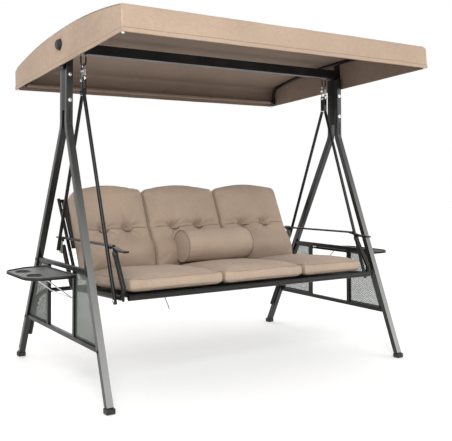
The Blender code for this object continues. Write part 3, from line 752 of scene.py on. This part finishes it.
def displace(obj, move):
    """Move each point by move(point, normal)."""
    mesh = obj.data
    shifts = [move(v.co.copy(), v.normal.copy()) for v in mesh.vertices]
    for vert, shift in zip(mesh.vertices, shifts):
        vert.co += shift
    mesh.update()
    return obj


def fill_box(obj, low, high):
    """Stretch the cover, axis by axis, so that it just fills this box."""
    points = [v.co.copy() for v in obj.data.vertices]
    least = [min(p[a] for p in points) for a in range(3)]
    most = [max(p[a] for p in points) for a in range(3)]
    for vert in obj.data.vertices:
        for a in range(3):
            share = (vert.co[a] - least[a]) / (most[a] - least[a])
            vert.co[a] = low[a] + (high[a] - low[a]) * share
    return obj


def bell(distance, width):
    return exp(-(distance / width) ** 2 / 2)


def on_surface(obj, points, lift):
    """The nearest points of the cover's surface, lifted off it by a little."""
    shape = bmesh.new()
    shape.from_mesh(obj.data)
    tree = BVHTree.FromBMesh(shape)
    result = []
    for point in points:
        found, normal, _, _ = tree.find_nearest(point)
        result.append(found + normal * lift)
    shape.free()
    return result


def ring_round(half_x, half_y, corner, z, top=None):
    """A rounded rectangle of points at one height; top(x) raises its upper side."""
    points = []
    for cx, cy, start in ((1, 1, 0), (-1, 1, pi / 2), (-1, -1, pi), (1, -1, 3 * pi / 2)):
        for k in range(6):
            angle = start + pi / 2 * k / 5
            points.append(Vector((cx * (half_x - corner) + corner * cos(angle),
                                  cy * (half_y - corner) + corner * sin(angle), z)))
    dense = []
    for a, b in zip(points, points[1:] + points[:1]):
        steps = max(1, int((b - a).length / 0.02))
        dense += [a.lerp(b, k / steps) for k in range(steps)]
    if top:
        for p in dense:
            p.y += top(p.x) * max(0.0, (p.y + half_y) / (2 * half_y)) ** 1.5
    return dense


# seat cushions --------------------------------------------------
SEAT_SLOPE = radians(-3.3)
SEAT_THICK = 0.095
SEAT_SEAMS = (0.026, -0.034)                 # heights of the two piped seams, from the middle


def make_seat_cushion(node, seed):
    low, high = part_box(node)
    width = high.x - low.x
    depth = (high.y - low.y) / cos(SEAT_SLOPE) - SEAT_THICK * abs(tan(SEAT_SLOPE)) * 0.5
    centre = (low + high) / 2
    place = Matrix.Translation(centre) @ Matrix.Rotation(SEAT_SLOPE, 4, "X")
    size = (width - 2 * PAD_INSET, depth - 2 * PAD_INSET, SEAT_THICK - 0.018)
    name = f"{node}_cover"
    pad = rounded_block(name, size, 0.022)
    half = Vector(size) / 2

    def draw_in(p, normal):
        """Sides pull in between the corners, and the top starts slightly crowned."""
        edge_x, edge_y = p.x / half.x, p.y / half.y
        pull = Vector((-edge_x * 0.006 * (1 - edge_y ** 2), -edge_y * 0.006 * (1 - edge_x ** 2), 0))
        crown = 0.010 * (1 - edge_x ** 2) * (1 - edge_y ** 2) * (1 if p.z > 0 else 0.0)
        return pull + Vector((0, 0, crown))

    displace(pad, draw_in)
    remeshed(pad)

    def held(p):
        if p.z < -half.z + 0.004:
            return 0.9
        return 0.6 if abs(p.x) > half.x - 0.006 or abs(p.y) > half.y - 0.006 else 0.0

    inflated(pad, held, 3.4, 0.018)
    full = Vector((width / 2 + 0.001, depth / 2 - 0.001, SEAT_THICK / 2 - 0.001))
    fill_box(pad, -full, full)
    subdivided(pad)

    def settle(p, normal):
        """Rest on the seat, with sewn edges drawn in and hand-made creases."""
        shift = Vector((0, 0, 0))
        floor_z = -SEAT_THICK / 2
        seam = sum(bell(p.z - z, 0.0035) for z in SEAT_SEAMS)
        side = min(1.0, max(abs(p.x) / half.x, abs(p.y) / half.y) ** 8)
        shift -= normal * 0.0026 * seam * side
        front = max(0.0, -normal.y) ** 2
        puckers = noise.noise(Vector((p.x * 16 + seed, p.z * 9, seed))) * 0.0045 * front
        corner = bell(abs(abs(p.x) - half.x + 0.045), 0.022) * front
        fold = sin(p.x * 210 + 6 * noise.noise(Vector((p.x * 8, p.z * 14, seed)))) * 0.0016 * corner
        broad = noise.noise(Vector((p.x * 4.5 + seed * 3, p.y * 4.5, seed))) * 0.0055 * max(0.0, normal.z)
        fine = noise.noise(Vector((p.x * 23, p.y * 19, seed * 2))) * 0.0012 * max(0.0, normal.z)
        shift += normal * (puckers + fold + broad + fine)
        if (p + shift).z < floor_z:
            shift.z = floor_z - p.z
        return shift

    displace(pad, settle)
    rings = [ring_round(half.x + 0.006, half.y + 0.006, 0.045, z) for z in SEAT_SEAMS]
    lines = [on_surface(pad, ring, 0.0004) for ring in rings]
    pad.data.transform(place)
    shade_smooth(pad, 180.0)
    finish_piece(pad, "swing", CUSHION_CLOTH)
    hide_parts(node)
    for label, line in zip(("upper", "lower"), lines):
        wire(f"{node}_{label}_seam", [place @ p for p in line], 0.0013, PIPING_CLOTH, "swing", closed=True,
             resolution=1)


for number, node in enumerate(("seat_cushion_left", "seat_cushion_middle", "seat_cushion_right")):
    make_seat_cushion(node, 1.7 + 2.3 * number)

# back cushions --------------------------------------------------
PAD_LEAN = radians(24.1)
PAD_THICK = 0.125
PAD_BASE = Vector((0.0, 0.1343, 0.510))      # lower front edge
PAD_HEIGHT, PAD_CROWN = 0.490, 0.050
PAD_PLUMP = 0.022                            # the filling stands this far ahead of the flat pad
TUFT_HEIGHT = 0.268                          # of the tufts above the lower edge
BACK_SEAMS = (0.046, -0.030)                 # of the two piped seams, from the middle of the thickness


def make_back_cushion(node, seed):
    low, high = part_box(node)
    width = high.x - low.x
    size = (width - 2 * PAD_INSET, PAD_HEIGHT - 2 * PAD_INSET, PAD_THICK - 0.020)
    half = Vector(size) / 2
    centre_up = PAD_HEIGHT / 2
    lean = Matrix.Rotation(pi / 2 - PAD_LEAN, 4, "X")
    depth = Vector((0, cos(PAD_LEAN), -sin(PAD_LEAN))) * (PAD_THICK / 2)
    up = Vector((0, sin(PAD_LEAN), cos(PAD_LEAN))) * centre_up
    middle = Vector(((low.x + high.x) / 2, PAD_BASE.y, PAD_BASE.z)) + depth + up
    place = Matrix.Translation(middle) @ lean
    tuft_y = TUFT_HEIGHT - centre_up
    tufts = [Vector((s * width / 6, tuft_y, 0)) for s in (-1, 1)]

    def top(x):
        return PAD_CROWN * (0.32 + 0.68 * cos(min(1.0, abs(x) / half.x) * pi / 2))

    def crease_y(x):
        """The sewn line: it arches up between the tufts and towards the edges."""
        step = width / 3
        phase = (x + width / 6) / step
        return tuft_y + 0.012 * abs(sin(pi * phase))

    def hollow(p):
        """How deep the front is drawn in at this point."""
        depth_now = sum(0.030 * bell((p.xy - t.xy).length, 0.018) for t in tufts)
        edge = 1 - (abs(p.x) / (half.x + 0.004)) ** 6
        depth_now += 0.014 * bell(p.y - crease_y(p.x), 0.010) * max(0.0, edge)
        for t in tufts:
            upright = bell(p.x - t.x, 0.010) * max(0.0, 1 - abs(p.y - t.y) / 0.16)
            depth_now += 0.006 * upright
        return depth_now

    name = f"{node}_cover"
    pad = rounded_block(name, size, 0.026, (18, 18, 6), top)
    remeshed(pad)
    displace(pad, lambda p, n: Vector((0, 0, -hollow(p))) if n.z > 0.3 else Vector((0, 0, 0)))

    def held(p):
        near = max(bell((p.xy - t.xy).length, 0.012) for t in tufts)
        if p.z < -half.z + 0.006:
            return 0.6
        if abs(p.x) > half.x - 0.007:
            return 0.9
        if p.z > 0:
            return min(1.0, 1.1 * near if near > 0.3 else 0.55 * bell(p.y - crease_y(p.x), 0.007))
        return 0.0

    inflated(pad, held, 3.6, 0.022)
    full = Vector((width / 2 + 0.002, PAD_HEIGHT / 2, PAD_THICK / 2 - 0.001))
    fill_box(pad, -full, full + Vector((0, PAD_CROWN + 0.006, PAD_PLUMP)))
    subdivided(pad)

    def dress(p, normal):
        """Puckers round the tufts, slack folds and the sewn edges."""
        face = max(0.0, normal.z)
        shift = 0.0
        for t in tufts:
            away = p.xy - t.xy
            angle = atan2(away.y, away.x)
            reach = away.length
            shift += 0.0042 * cos(9 * angle + seed) * bell(reach - 0.035, 0.028) * face
        shift -= 0.0050 * bell(p.y - crease_y(p.x), 0.0045) * face * max(0.0, 1 - (abs(p.x) / half.x) ** 8)
        for t in tufts:
            drawn = bell(p.x - t.x - 0.01 * sin(p.y * 30 + seed), 0.006)
            above = bell(p.y - t.y - 0.055, 0.035)
            shift -= 0.0030 * drawn * above * face
        shift += noise.noise(Vector((p.x * 5 + seed, p.y * 4, seed))) * 0.0060 * face
        shift += noise.noise(Vector((p.x * 17, p.y * 9 + seed, 2.0))) * 0.0022 * face
        side = max(abs(p.x) / half.x, abs(p.y) / half.y)
        if side > 0.9:
            shift -= 0.0025 * sum(bell(p.z - z, 0.004) for z in BACK_SEAMS)
        forward = max(0.0, p.z / half.z + 0.4) * 0.020 * bell(p.y + 0.125, 0.055)
        return normal * shift + Vector((0, 0, forward))

    displace(pad, dress)
    rings = [ring_round(half.x + 0.004, half.y + 0.004, 0.030, z, top=top) for z in BACK_SEAMS]
    lines = [on_surface(pad, ring, 0.0005) for ring in rings]
    ends = []
    for t in tufts:
        stitch = [Vector((t.x + d, t.y + 0.001, 0.07)) for d in (-0.011, -0.004, 0.004, 0.011)]
        ends.append(on_surface(pad, stitch, 0.0012))
    across = [k / 40 * (half.x - 0.012) for k in range(-40, 41)]
    crease = on_surface(pad, [Vector((x, crease_y(x), 0.09)) for x in across], 0.0004)
    pad.data.transform(place)
    shade_smooth(pad, 180.0)
    finish_piece(pad, "backrest", CUSHION_CLOTH)
    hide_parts(node)
    for label, line in zip(("front", "rear"), lines):
        wire(f"{node}_{label}_seam", [place @ p for p in line], 0.0016, PIPING_CLOTH, "backrest",
             closed=True, resolution=1)
    # Dark cord along the crease: a sewn line whose dark colour is painted shade of the crease.
    wire(f"{node}_crease", [place @ p for p in crease], 0.0011, TUFT_THREAD_AND_CREASE_SHADE, "backrest", resolution=1)
    for label, line in zip(("a", "b"), ends):
        wire(f"{node}_tuft_{label}", [place @ p for p in line], 0.0019, TUFT_THREAD_AND_CREASE_SHADE, "backrest",
             resolution=2)


for number, node in enumerate(("back_cushion_left", "back_cushion_middle", "back_cushion_right")):
    make_back_cushion(node, 0.9 + 1.9 * number)


# bolster --------------------------------------------------------
def make_bolster():
    low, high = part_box("bolster_pillow")
    centre = (low + high) / 2 + Vector((-0.022, -0.012, -0.010))
    half = (high.x - low.x) / 2 - 0.012
    radius = (high.z - low.z) / 2 + 0.003
    around, along = 72, 54

    def body(i, j):
        angle = 2 * pi * i / around
        x = -half + 0.008 + (2 * half - 0.016) * j / along
        to_end = half - abs(x)
        plump = 0.004 * (1 - (x / half) ** 2)
        gather = sin(angle * 19 + 3 * noise.noise(Vector((cos(angle) * 2, sin(angle) * 2, x * 5)))) * 0.0013
        gather *= bell(to_end - 0.012, 0.028)
        slack = noise.noise(Vector((x * 6, cos(angle) * 1.6, sin(angle) * 1.6))) * 0.0045
        r = radius - 0.003 + plump + gather + slack
        return (x, r * cos(angle), r * sin(angle))

    shape = bmesh.new()
    rings = [[shape.verts.new(body(i, j)) for i in range(around)] for j in range(along + 1)]
    for a, b in zip(rings, rings[1:]):
        for i in range(around):
            shape.faces.new((a[i], a[(i + 1) % around], b[(i + 1) % around], b[i]))
    for ring, way in ((rings[0], -1), (rings[-1], 1)):
        previous = ring
        for share, dome in ((0.93, 0.0005), (0.80, 0.004), (0.60, 0.0065), (0.35, 0.0078), (0.12, 0.008)):
            inner = []
            for i, vert in enumerate(ring):
                flat = Vector((0, vert.co.y, vert.co.z)) * share
                crease = noise.noise(flat * 30 + Vector((way, 0, 0))) * 0.0012
                inner.append(shape.verts.new((vert.co.x + way * (dome + crease), flat.y, flat.z)))
            for i in range(around):
                n = (i + 1) % around
                shape.faces.new((previous[i], previous[n], inner[n], inner[i]))
            previous = inner
        tip = shape.verts.new((previous[0].co.x + way * 0.0003, 0, 0))
        for i in range(around):
            shape.faces.new((previous[i], previous[(i + 1) % around], tip))
    bmesh.ops.recalc_face_normals(shape, faces=shape.faces)
    pillow = new_object("bolster_pillow_cover", shape)
    place = Matrix.Translation(centre)
    edges = []
    for way in (-1, 1):
        ring = [Vector((way * (half - 0.0075), *spoke(k, 48, radius - 0.0015))) for k in range(48)]
        edges.append([place @ p for p in ring])
    pillow.data.transform(place)
    shade_smooth(pillow, 180.0)
    finish_piece(pillow, "swing", CUSHION_CLOTH)
    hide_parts("bolster_pillow")
    for label, ring in zip(("left", "right"), edges):
        wire(f"bolster_piping_{label}", ring, 0.0030, PIPING_CLOTH, "swing", closed=True, resolution=3)


make_bolster()


# ---------------------------------------------------------------- slings
def make_sling(name, node, body, corner, across, along, sag, columns=40, rows=24):
    """Stretched cloth with hemmed edges: it hangs a little between its rails."""
    normal = across.cross(along).normalized()

    def point(i, j):
        u, v = i / columns, j / rows
        fall = sag * 4 * v * (1 - v) * (0.35 + 0.65 * (4 * u * (1 - u)) ** 0.5)
        return corner + across * u + along * v - normal * fall

    cloth = grid_surface(name, columns, rows, point)
    modified(cloth, "cloth thickness", "SOLIDIFY", thickness=0.0022, offset=0)
    shade_smooth(cloth, 50.0)
    finish_piece(cloth, body, SLING_CLOTH)
    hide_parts(node)
    for label, v in (("lower", 0.02), ("upper", 0.98)):
        line = [Vector(point(i, v * rows)) for i in range(0, columns + 1, 2)]
        wire(f"{name}_{label}_hem", line, 0.0032, SLING_CLOTH, body, resolution=2)


def make_slings():
    low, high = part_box("seat_sling")
    slope_drop = high.z - low.z - 0.003
    corner = Vector((low.x, low.y + 0.001, high.z - 0.0015))
    across = Vector((high.x - low.x, 0, 0))
    along = Vector((0, high.y - low.y - 0.002, -slope_drop))
    make_sling("seat_sling_cloth", "seat_sling", "swing", corner, across, along, 0.010)
    low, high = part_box("backrest_sling")
    corner = Vector((low.x, low.y + 0.0013, low.z + 0.0008))
    across = Vector((high.x - low.x, 0, 0))
    along = Vector((0, high.y - low.y - 0.0026, high.z - low.z - 0.0016))
    make_sling("backrest_sling_cloth", "backrest_sling", "backrest", corner, across, along, -0.008)


make_slings()


# ---------------------------------------------------------------- mesh panels
MESH_PITCH = {1: 0.0042, -1: 0.0080}          # between threads: the fine set and the bold one
MESH_THREAD_WIDE = {1: 0.0012, -1: 0.0036}


def clip_line(outline, offset, direction, normal):
    """Where the line normal.p = offset enters and leaves a convex outline, as distances along direction."""
    hits = []
    for a, b in zip(outline, outline[1:] + outline[:1]):
        da, db = normal.dot(a) - offset, normal.dot(b) - offset
        if da * db < 0:
            p = a.lerp(b, da / (da - db))
            hits.append(direction.dot(p))
    return (min(hits), max(hits)) if len(hits) > 1 else None


def make_mesh_panel(place, side):
    """Open plaited mesh: flat threads on both diagonals, over and under, in a hemmed edge."""
    node = f"mesh_panel_{place}_{side}"
    source = frame["nodes"][node].data
    low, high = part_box(node)
    x = (low.x + high.x) / 2
    tops = [v.co.y for v in source.vertices if v.co.z > high.z - 0.001]
    feet = [v.co.y for v in source.vertices if v.co.z < low.z + 0.001]
    outline = [Vector((min(feet), low.z)), Vector((max(feet), low.z)),
               Vector((max(tops), high.z)), Vector((min(tops), high.z))]
    shape = bmesh.new()
    for turn in (1, -1):
        direction = Vector((cos(pi / 4), turn * sin(pi / 4)))
        normal = Vector((-direction.y, direction.x))
        offsets = [normal.dot(p) for p in outline]
        pitch, crossing = MESH_PITCH[turn], MESH_PITCH[-turn]
        first, last = floor(min(offsets) / pitch), floor(max(offsets) / pitch) + 1
        for line in range(first, last + 1):
            offset = line * pitch
            span = clip_line(outline, offset, direction, normal)
            if span is None or span[1] - span[0] < 2 * crossing:
                continue
            start, end = floor(span[0] / crossing) + 1, floor(span[1] / crossing)
            stations = [span[0], *[k * crossing for k in range(start, end + 1)], span[1]]
            previous = None
            for k, station in enumerate(stations):
                over = 0.0004 * turn * (1 if (k + start + line) % 2 else -1)
                centre = direction * station + normal * offset
                corners = []
                for wide, deep in ((-1, -1), (1, -1), (1, 1), (-1, 1)):
                    flat = centre + normal * (wide * MESH_THREAD_WIDE[turn] / 2)
                    corners.append(shape.verts.new((x + over + deep * 0.00035, flat.x, flat.y)))
                if previous:
                    for n in range(4):
                        m = (n + 1) % 4
                        shape.faces.new((previous[n], previous[m], corners[m], corners[n]))
                else:
                    shape.faces.new(corners[::-1])
                previous = corners
            shape.faces.new(previous)
    bmesh.ops.recalc_face_normals(shape, faces=shape.faces)
    net = new_object(f"{node}_net", shape)
    finish_piece(net, "stand", MESH_THREAD)
    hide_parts(node)
    names = ("bottom", "leg" if place == "rear" else "bar", "top", "bar" if place == "rear" else "leg")
    for label, a, b in zip(names, outline, outline[1:] + outline[:1]):
        along = (b - a).normalized()
        inward = Vector((-along.y, along.x))
        wide = 0.026 if label == "leg" else 0.009
        size = (0.0042, (b - a).length, wide)
        middle = (a + b) / 2 + inward * (wide / 2)
        turn = Matrix.Rotation(atan2(along.y, along.x), 4, "X")
        centre = (x, middle.x, middle.y)
        slab(f"{node}_{label}_hem", size, centre, MESH_HEM, "stand", turn, 0.0018)


for side, _ in SIDES:
    make_mesh_panel("front", side)
    make_mesh_panel("rear", side)


# ---------------------------------------------------------------- side trays
def closed_curve(name, outlines, thickness, edge, place, material, body):
    """A flat piece with rounded edges from 2D outlines; later outlines are holes."""
    curve = bpy.data.curves.new(name, "CURVE")
    curve.dimensions = "2D"
    curve.fill_mode = "BOTH"
    curve.extrude = thickness / 2 - edge
    curve.bevel_depth = edge
    curve.bevel_resolution = 2
    for outline in outlines:
        spline = curve.splines.new("POLY")
        spline.points.add(len(outline) - 1)
        spline.use_cyclic_u = True
        for target, point in zip(spline.points, outline):
            target.co = (point[0], point[1], 0.0, 1.0)
    curve.offset = -edge
    obj = bpy.data.objects.new(name, curve)
    obj.matrix_world = place
    return finish_piece(obj, body, material)


def rounded_outline(points, radius, steps=6):
    """A closed outline with its corners replaced by arcs of one radius, or of one radius each."""
    points = [Vector(p) for p in points]
    result = []
    for i, corner in enumerate(points):
        before = (points[i - 1] - corner).normalized()
        after = (points[(i + 1) % len(points)] - corner).normalized()
        half = acos(max(-1.0, min(1.0, before.dot(after)))) / 2
        r = radius[i] if isinstance(radius, list) else radius
        centre = corner + (before + after).normalized() * (r / sin(half))
        start = corner + before * (r / tan(half)) - centre
        end = corner + after * (r / tan(half)) - centre
        for k in range(steps + 1):
            result.append(centre + start.lerp(end, k / steps).normalized() * r)
    return result


def circle(x, y, radius, count=40):
    spokes = (spoke(k, count, radius) for k in range(count))
    return [Vector((x + right, y + back)) for right, back in spokes]


CUP_X, CUP_REAR_Y, CUP_FRONT_Y = 1.116, 0.075, -0.090
HINGE_X, HINGE_Z = 0.938, 0.5665             # of the pins the tray folds on
LUG_SIZE = (0.018, 0.015, 0.0125)
RIB_SIZE = (0.130, 0.003, 0.004)


def make_tray(side, s):
    """Moulded tray: recessed floor, raised rim, two cup holes with lips, ribs below and hinge lugs."""
    low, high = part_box(f"tray_{side}")
    inner = 0.945
    outer = max(abs(low.x), abs(high.x))
    front, rear = low.y, 0.213
    body = f"tray_{side}"
    corners = [(inner, front + 0.020), (1.000, front), (outer, front),
               (outer, 0.130), (1.058, rear), (inner, rear)]
    radii = [0.012, 0.060, 0.085, 0.075, 0.060, 0.012]
    outline = [Vector((s * p.x, p.y)) for p in rounded_outline(corners, radii)]
    holes = [(s * CUP_X, CUP_REAR_Y), (s * CUP_X, CUP_FRONT_Y)]
    floor_z, top_z = low.z, high.z
    centre = sum(outline, Vector((0, 0))) / len(outline)

    def shrunk(amount):
        """The outline moved inwards."""
        moved = []
        count = len(outline)
        for k, p in enumerate(outline):
            along = (outline[(k + 1) % count] - outline[k - 1]).normalized()
            inward = Vector((-along.y, along.x))
            if inward.dot(centre - p) < 0:
                inward = -inward
            moved.append(p + inward * amount)
        return moved

    cut_out = [circle(x, y, 0.034) for x, y in holes]
    base = closed_curve(f"tray_base_{side}", [outline, *cut_out], 0.008, 0.0015,
                        Matrix.Translation((0, 0, floor_z + 0.006)), TRAY_PLASTIC, body)
    closed_curve(f"tray_rim_{side}", [outline, shrunk(0.007)], top_z - floor_z - 0.001, 0.0018,
                 Matrix.Translation((0, 0, (top_z + floor_z) / 2)), PLASTIC, body)
    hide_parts(f"tray_{side}")
    for label, (x, y) in zip(("rear", "front"), holes):
        closed_curve(f"cup_lip_{label}_{side}", [circle(x, y, 0.0385), circle(x, y, 0.0338)], 0.012, 0.0012,
                     Matrix.Translation((0, 0, floor_z + 0.0072)), PLASTIC, body)
    for number, y in enumerate((-0.150, -0.010, 0.150)):
        slab(f"tray_rib_{number + 1}_{side}", RIB_SIZE, (s * 1.020, y, floor_z + 0.0015), TRAY_PLASTIC, body,
             edge=0.0008, segments=1)
    for label, y in (("rear", 0.232), ("front", -0.120)):
        slab(f"tray_lug_{label}_{side}", LUG_SIZE, (s * 0.9425, y, 0.5685), PLASTIC, body)
        turned(f"tray_pin_{label}_{side}", TRAY_PIN, (s * HINGE_X, y, HINGE_Z), (0, 1, 0), ZINC, body, 16)
    bridge = [(0.945, 0.190), (0.985, 0.190), (1.000, 0.205), (0.975, 0.240), (0.945, 0.240)]
    ear = [Vector((s * p.x, p.y)) for p in rounded_outline(bridge, 0.006, 3)]
    closed_curve(f"tray_ear_{side}", [ear], 0.010, 0.0015, Matrix.Translation((0, 0, floor_z + 0.0065)),
                 TRAY_PLASTIC, body)


for side, s in SIDES:
    make_tray(side, s)


# ---------------------------------------------------------------- frame finishes and hardware
def finish_frame():
    for place, _ in ENDS:
        for side, _ in SIDES:
            refined(f"leg_{place}_{side}", LEG_STEEL)
            refined(f"foot_cap_{place}_{side}", PLASTIC, 0.0012, 2, 60.0)
            refined(f"hanger_rod_{place}_{side}", STEEL)
    refined("top_beam", STEEL, 0.004, 3, 60.0)
    refined("rear_stretcher", STEEL)
    for name in ("canopy_front_rail", "canopy_rear_rail", "seat_front_rail", "seat_rear_rail",
                 "backrest_top_rail"):
        refined(name, STEEL)
    for side, _ in SIDES:
        refined(f"beam_post_{side}", STEEL, 0.002, 2, 60.0)
        refined(f"side_frame_{side}", STEEL, 0.0025, 2, 60.0)
        refined(f"u_bolt_{side}", PLASTIC)
        refined(f"canopy_arch_{side}", STEEL)
        refined(f"tilt_knob_{side}", PLASTIC)
        refined(f"spring_hook_{side}", CHROME)
        refined(f"hanger_clevis_{side}", STEEL, 0.0012, 2, 60.0)
        refined(f"rod_bracket_{side}", BRACKET, 0.0015, 2, 60.0)
        refined(f"seat_side_tube_{side}", STEEL)
        refined(f"armrest_{side}", STEEL, 0.0035, 3, 60.0)
        refined(f"backrest_tube_{side}", STEEL)
        refined(f"tray_brace_{side}", ZINC)


LEG_X = 0.92
SIDE_FACE_X = 0.938                          # outer face of the legs
LEG_BEND_Z = 1.30                            # the legs are upright above it and raked below
LEG_TOP_Y = {-1: -0.0306, 1: 0.0306}         # centre lines: -1 for a front leg, 1 for a rear one
LEG_FOOT_Y = {-1: -0.518, 1: 0.682}
LEG_HALF_DEPTH = 0.015


def leg_y(way, z):
    """y of a leg's centre line."""
    top, foot = LEG_TOP_Y[way], LEG_FOOT_Y[way]
    return top if z > LEG_BEND_Z else top + (foot - top) * (LEG_BEND_Z - z) / LEG_BEND_Z


def leg_face_y(way, z):
    """y of a leg's outer face."""
    slope = 0.0 if z > LEG_BEND_Z else atan2(abs(LEG_FOOT_Y[way] - LEG_TOP_Y[way]), LEG_BEND_Z)
    return leg_y(way, z) + way * LEG_HALF_DEPTH / cos(slope)


def make_leg_bolts():
    """Bright bolts and pressed grooves where the legs meet the beam post."""
    for side, s in SIDES:
        for label, way in ENDS:
            for number, z in enumerate((1.560, 1.430)):
                spot = (s * LEG_X, leg_face_y(way, z), z)
                bolt_head(f"leg_bolt_{label}_{number + 1}_{side}", spot, (0, way, 0), CHROME, "stand", 0.0068)
            y = leg_face_y(way, 1.36) + way * 0.0003
            groove = []
            for k in range(24):
                a = 2 * pi * k / 24 + 0.001
                groove.append((0.0055 * cos(a), 0.034 * (1 if sin(a) > 0 else -1) + 0.0055 * sin(a)))
            place = Matrix.Translation((s * LEG_X, y, 1.352)) @ Matrix.Rotation(pi / 2, 4, "X")
            closed_curve(f"leg_groove_{label}_{side}", [groove], 0.0012, 0.0003, place, GROOVE, "stand")
        spot = (s * SIDE_FACE_X, LEG_FOOT_Y[1] - 0.045 * 0.501, 0.045)
        bolt_head(f"foot_plug_{side}", spot, (s, 0, 0), ZINC, "stand", 0.0042)


def make_side_frame_bolts():
    """Button heads where the side frames' rails meet the legs and bars."""
    for side, s in SIDES:
        for label, z in (("upper", 0.5935), ("lower", 0.2532)):
            for place, way in ENDS:
                spot = (s * 0.9382, leg_y(way, z), z)
                bolt_head(f"rail_bolt_{label}_{place}_{side}", spot, (s, 0, 0), STEEL, "stand", 0.0060)


HANGER_X = 0.828
FORK_HALF = 0.0121                           # from the middle of a hanger fork to its outer face
COIL_TURNS, COIL_RADIUS, COIL_HEIGHT = 9, 0.0066, 0.030


def make_hook_details():
    """Spring gates, sleeves and pins of the hooks and their forks."""
    for side, s in SIDES:
        x = s * HANGER_X
        coil = []
        for k in range(COIL_TURNS * 12 + 1):
            right, back = spoke(k, 12, COIL_RADIUS)
            coil.append((x + right, -0.0165 + back, 1.566 + COIL_HEIGHT * k / (COIL_TURNS * 12)))
        wire(f"hook_spring_{side}", coil, 0.0011, CHROME, "swing", resolution=2)
        turned(f"hook_sleeve_upper_{side}", SLEEVE, (x, 0.0165, 1.586), (0, 0, 1), CHROME, "swing", 20)
        turned(f"hook_sleeve_lower_{side}", SLEEVE, (x, -0.0165, 1.546), (0, 0, 1), CHROME, "swing", 20)
        for label, way in (("inner", -1), ("outer", 1)):
            spot = (x + way * FORK_HALF, 0, 1.543)
            bolt_head(f"hook_pin_head_{label}_{side}", spot, (way, 0, 0), CHROME, "swing", 0.0088)
        for label, y in (("front", -0.0085), ("rear", 0.0085)):
            spot = (x + s * FORK_HALF, y, 1.480)
            bolt_head(f"clevis_bolt_{label}_{side}", spot, (s, 0, 0), STEEL, "swing", 0.0040)
        for label, way in (("inner", -1), ("outer", 1)):
            spot = (x + way * 0.014, 0, 1.6736 - NUT[-1][1])
            turned(f"u_bolt_nut_{label}_{side}", NUT, spot, (0, 0, 1), ZINC, "stand", 6)


POST_AXIS = (0, 0.497, 0.868)                # of the arm posts' tops
BACK_FOOT_X, BACK_FOOT_Y, BACK_FOOT_Z = 0.762, 0.240, 0.490
BACK_LEAN = radians(31.7)
BACK_LENGTH = 0.4948


def make_seat_hardware():
    """Bolts, lugs, spacers and end plugs round the seat and arms."""
    for side, s in SIDES:
        out = (s, 0, 0)
        bolt_head(f"front_rod_bolt_{side}", (s * 0.8276, -0.355, 0.462), out, CHROME, "swing", 0.0062)
        turned(f"front_rod_plug_{side}", ROD_PLUG, (s * 0.8180, -0.3590, 0.4515), (0, -0.31, -1), PLASTIC,
               "swing", 20)
        bolt_head(f"bracket_bolt_upper_{side}", (s * 0.8182, 0.335, 0.688), out, ZINC, "swing", 0.0042)
        bolt_head(f"bracket_bolt_lower_{side}", (s * 0.8182, 0.330, 0.628), out, CHROME, "swing", 0.0050)
        slab(f"arm_bracket_{side}", (0.012, 0.046, 0.014), (s * 0.8085, -0.270, 0.7055), STEEL, "swing",
             edge=0.003)
        bolt_head(f"arm_bolt_{side}", (s * 0.790, -0.283, 0.7125), (0, -0.2, 1), STEEL, "swing", 0.0065)
        turned(f"arm_post_collar_{side}", COLLAR, (s * 0.795, -0.3165, 0.6665), POST_AXIS, PLASTIC, "swing")
        turned(f"arm_post_neck_{side}", NECK, (s * 0.795, -0.3070, 0.6835), POST_AXIS, STEEL, "swing", 16)
        slab(f"arm_rear_bracket_{side}", (0.010, 0.050, 0.026), (s * 0.8075, 0.333, 0.7000), STEEL, "swing",
             edge=0.003)
        bolt_head(f"recline_bolt_{side}", (s * 0.8078, BACK_FOOT_Y, BACK_FOOT_Z), out, ZINC, "swing", 0.0058)
        slab(f"recline_ear_{side}", (0.0045, 0.030, 0.042), (s * 0.7768, 0.2400, 0.4880), STEEL, "swing",
             Matrix.Rotation(radians(-30), 4, "X"), 0.0018)
        turned(f"seat_front_plug_{side}", SEAT_PLUG, (s * 0.8065, -0.4245, 0.4790), out, PLASTIC, "swing")
    for side, s in SIDES:
        base = Vector((s * BACK_FOOT_X, BACK_FOOT_Y, BACK_FOOT_Z))
        up = Vector((0, sin(BACK_LEAN), cos(BACK_LEAN)))
        for number, distance in enumerate((0.150, 0.345)):
            spot = base + up * distance + Vector((s * 0.0096, 0, 0))
            bolt_head(f"backrest_bolt_{number + 1}_{side}", spot, (s, 0, 0), ZINC, "backrest", 0.0048)
        turned(f"backrest_plug_{side}", BACK_PLUG, base + up * BACK_LENGTH, up, PLASTIC, "backrest")


finish_frame()
make_leg_bolts()
make_side_frame_bolts()
make_hook_details()
make_seat_hardware()
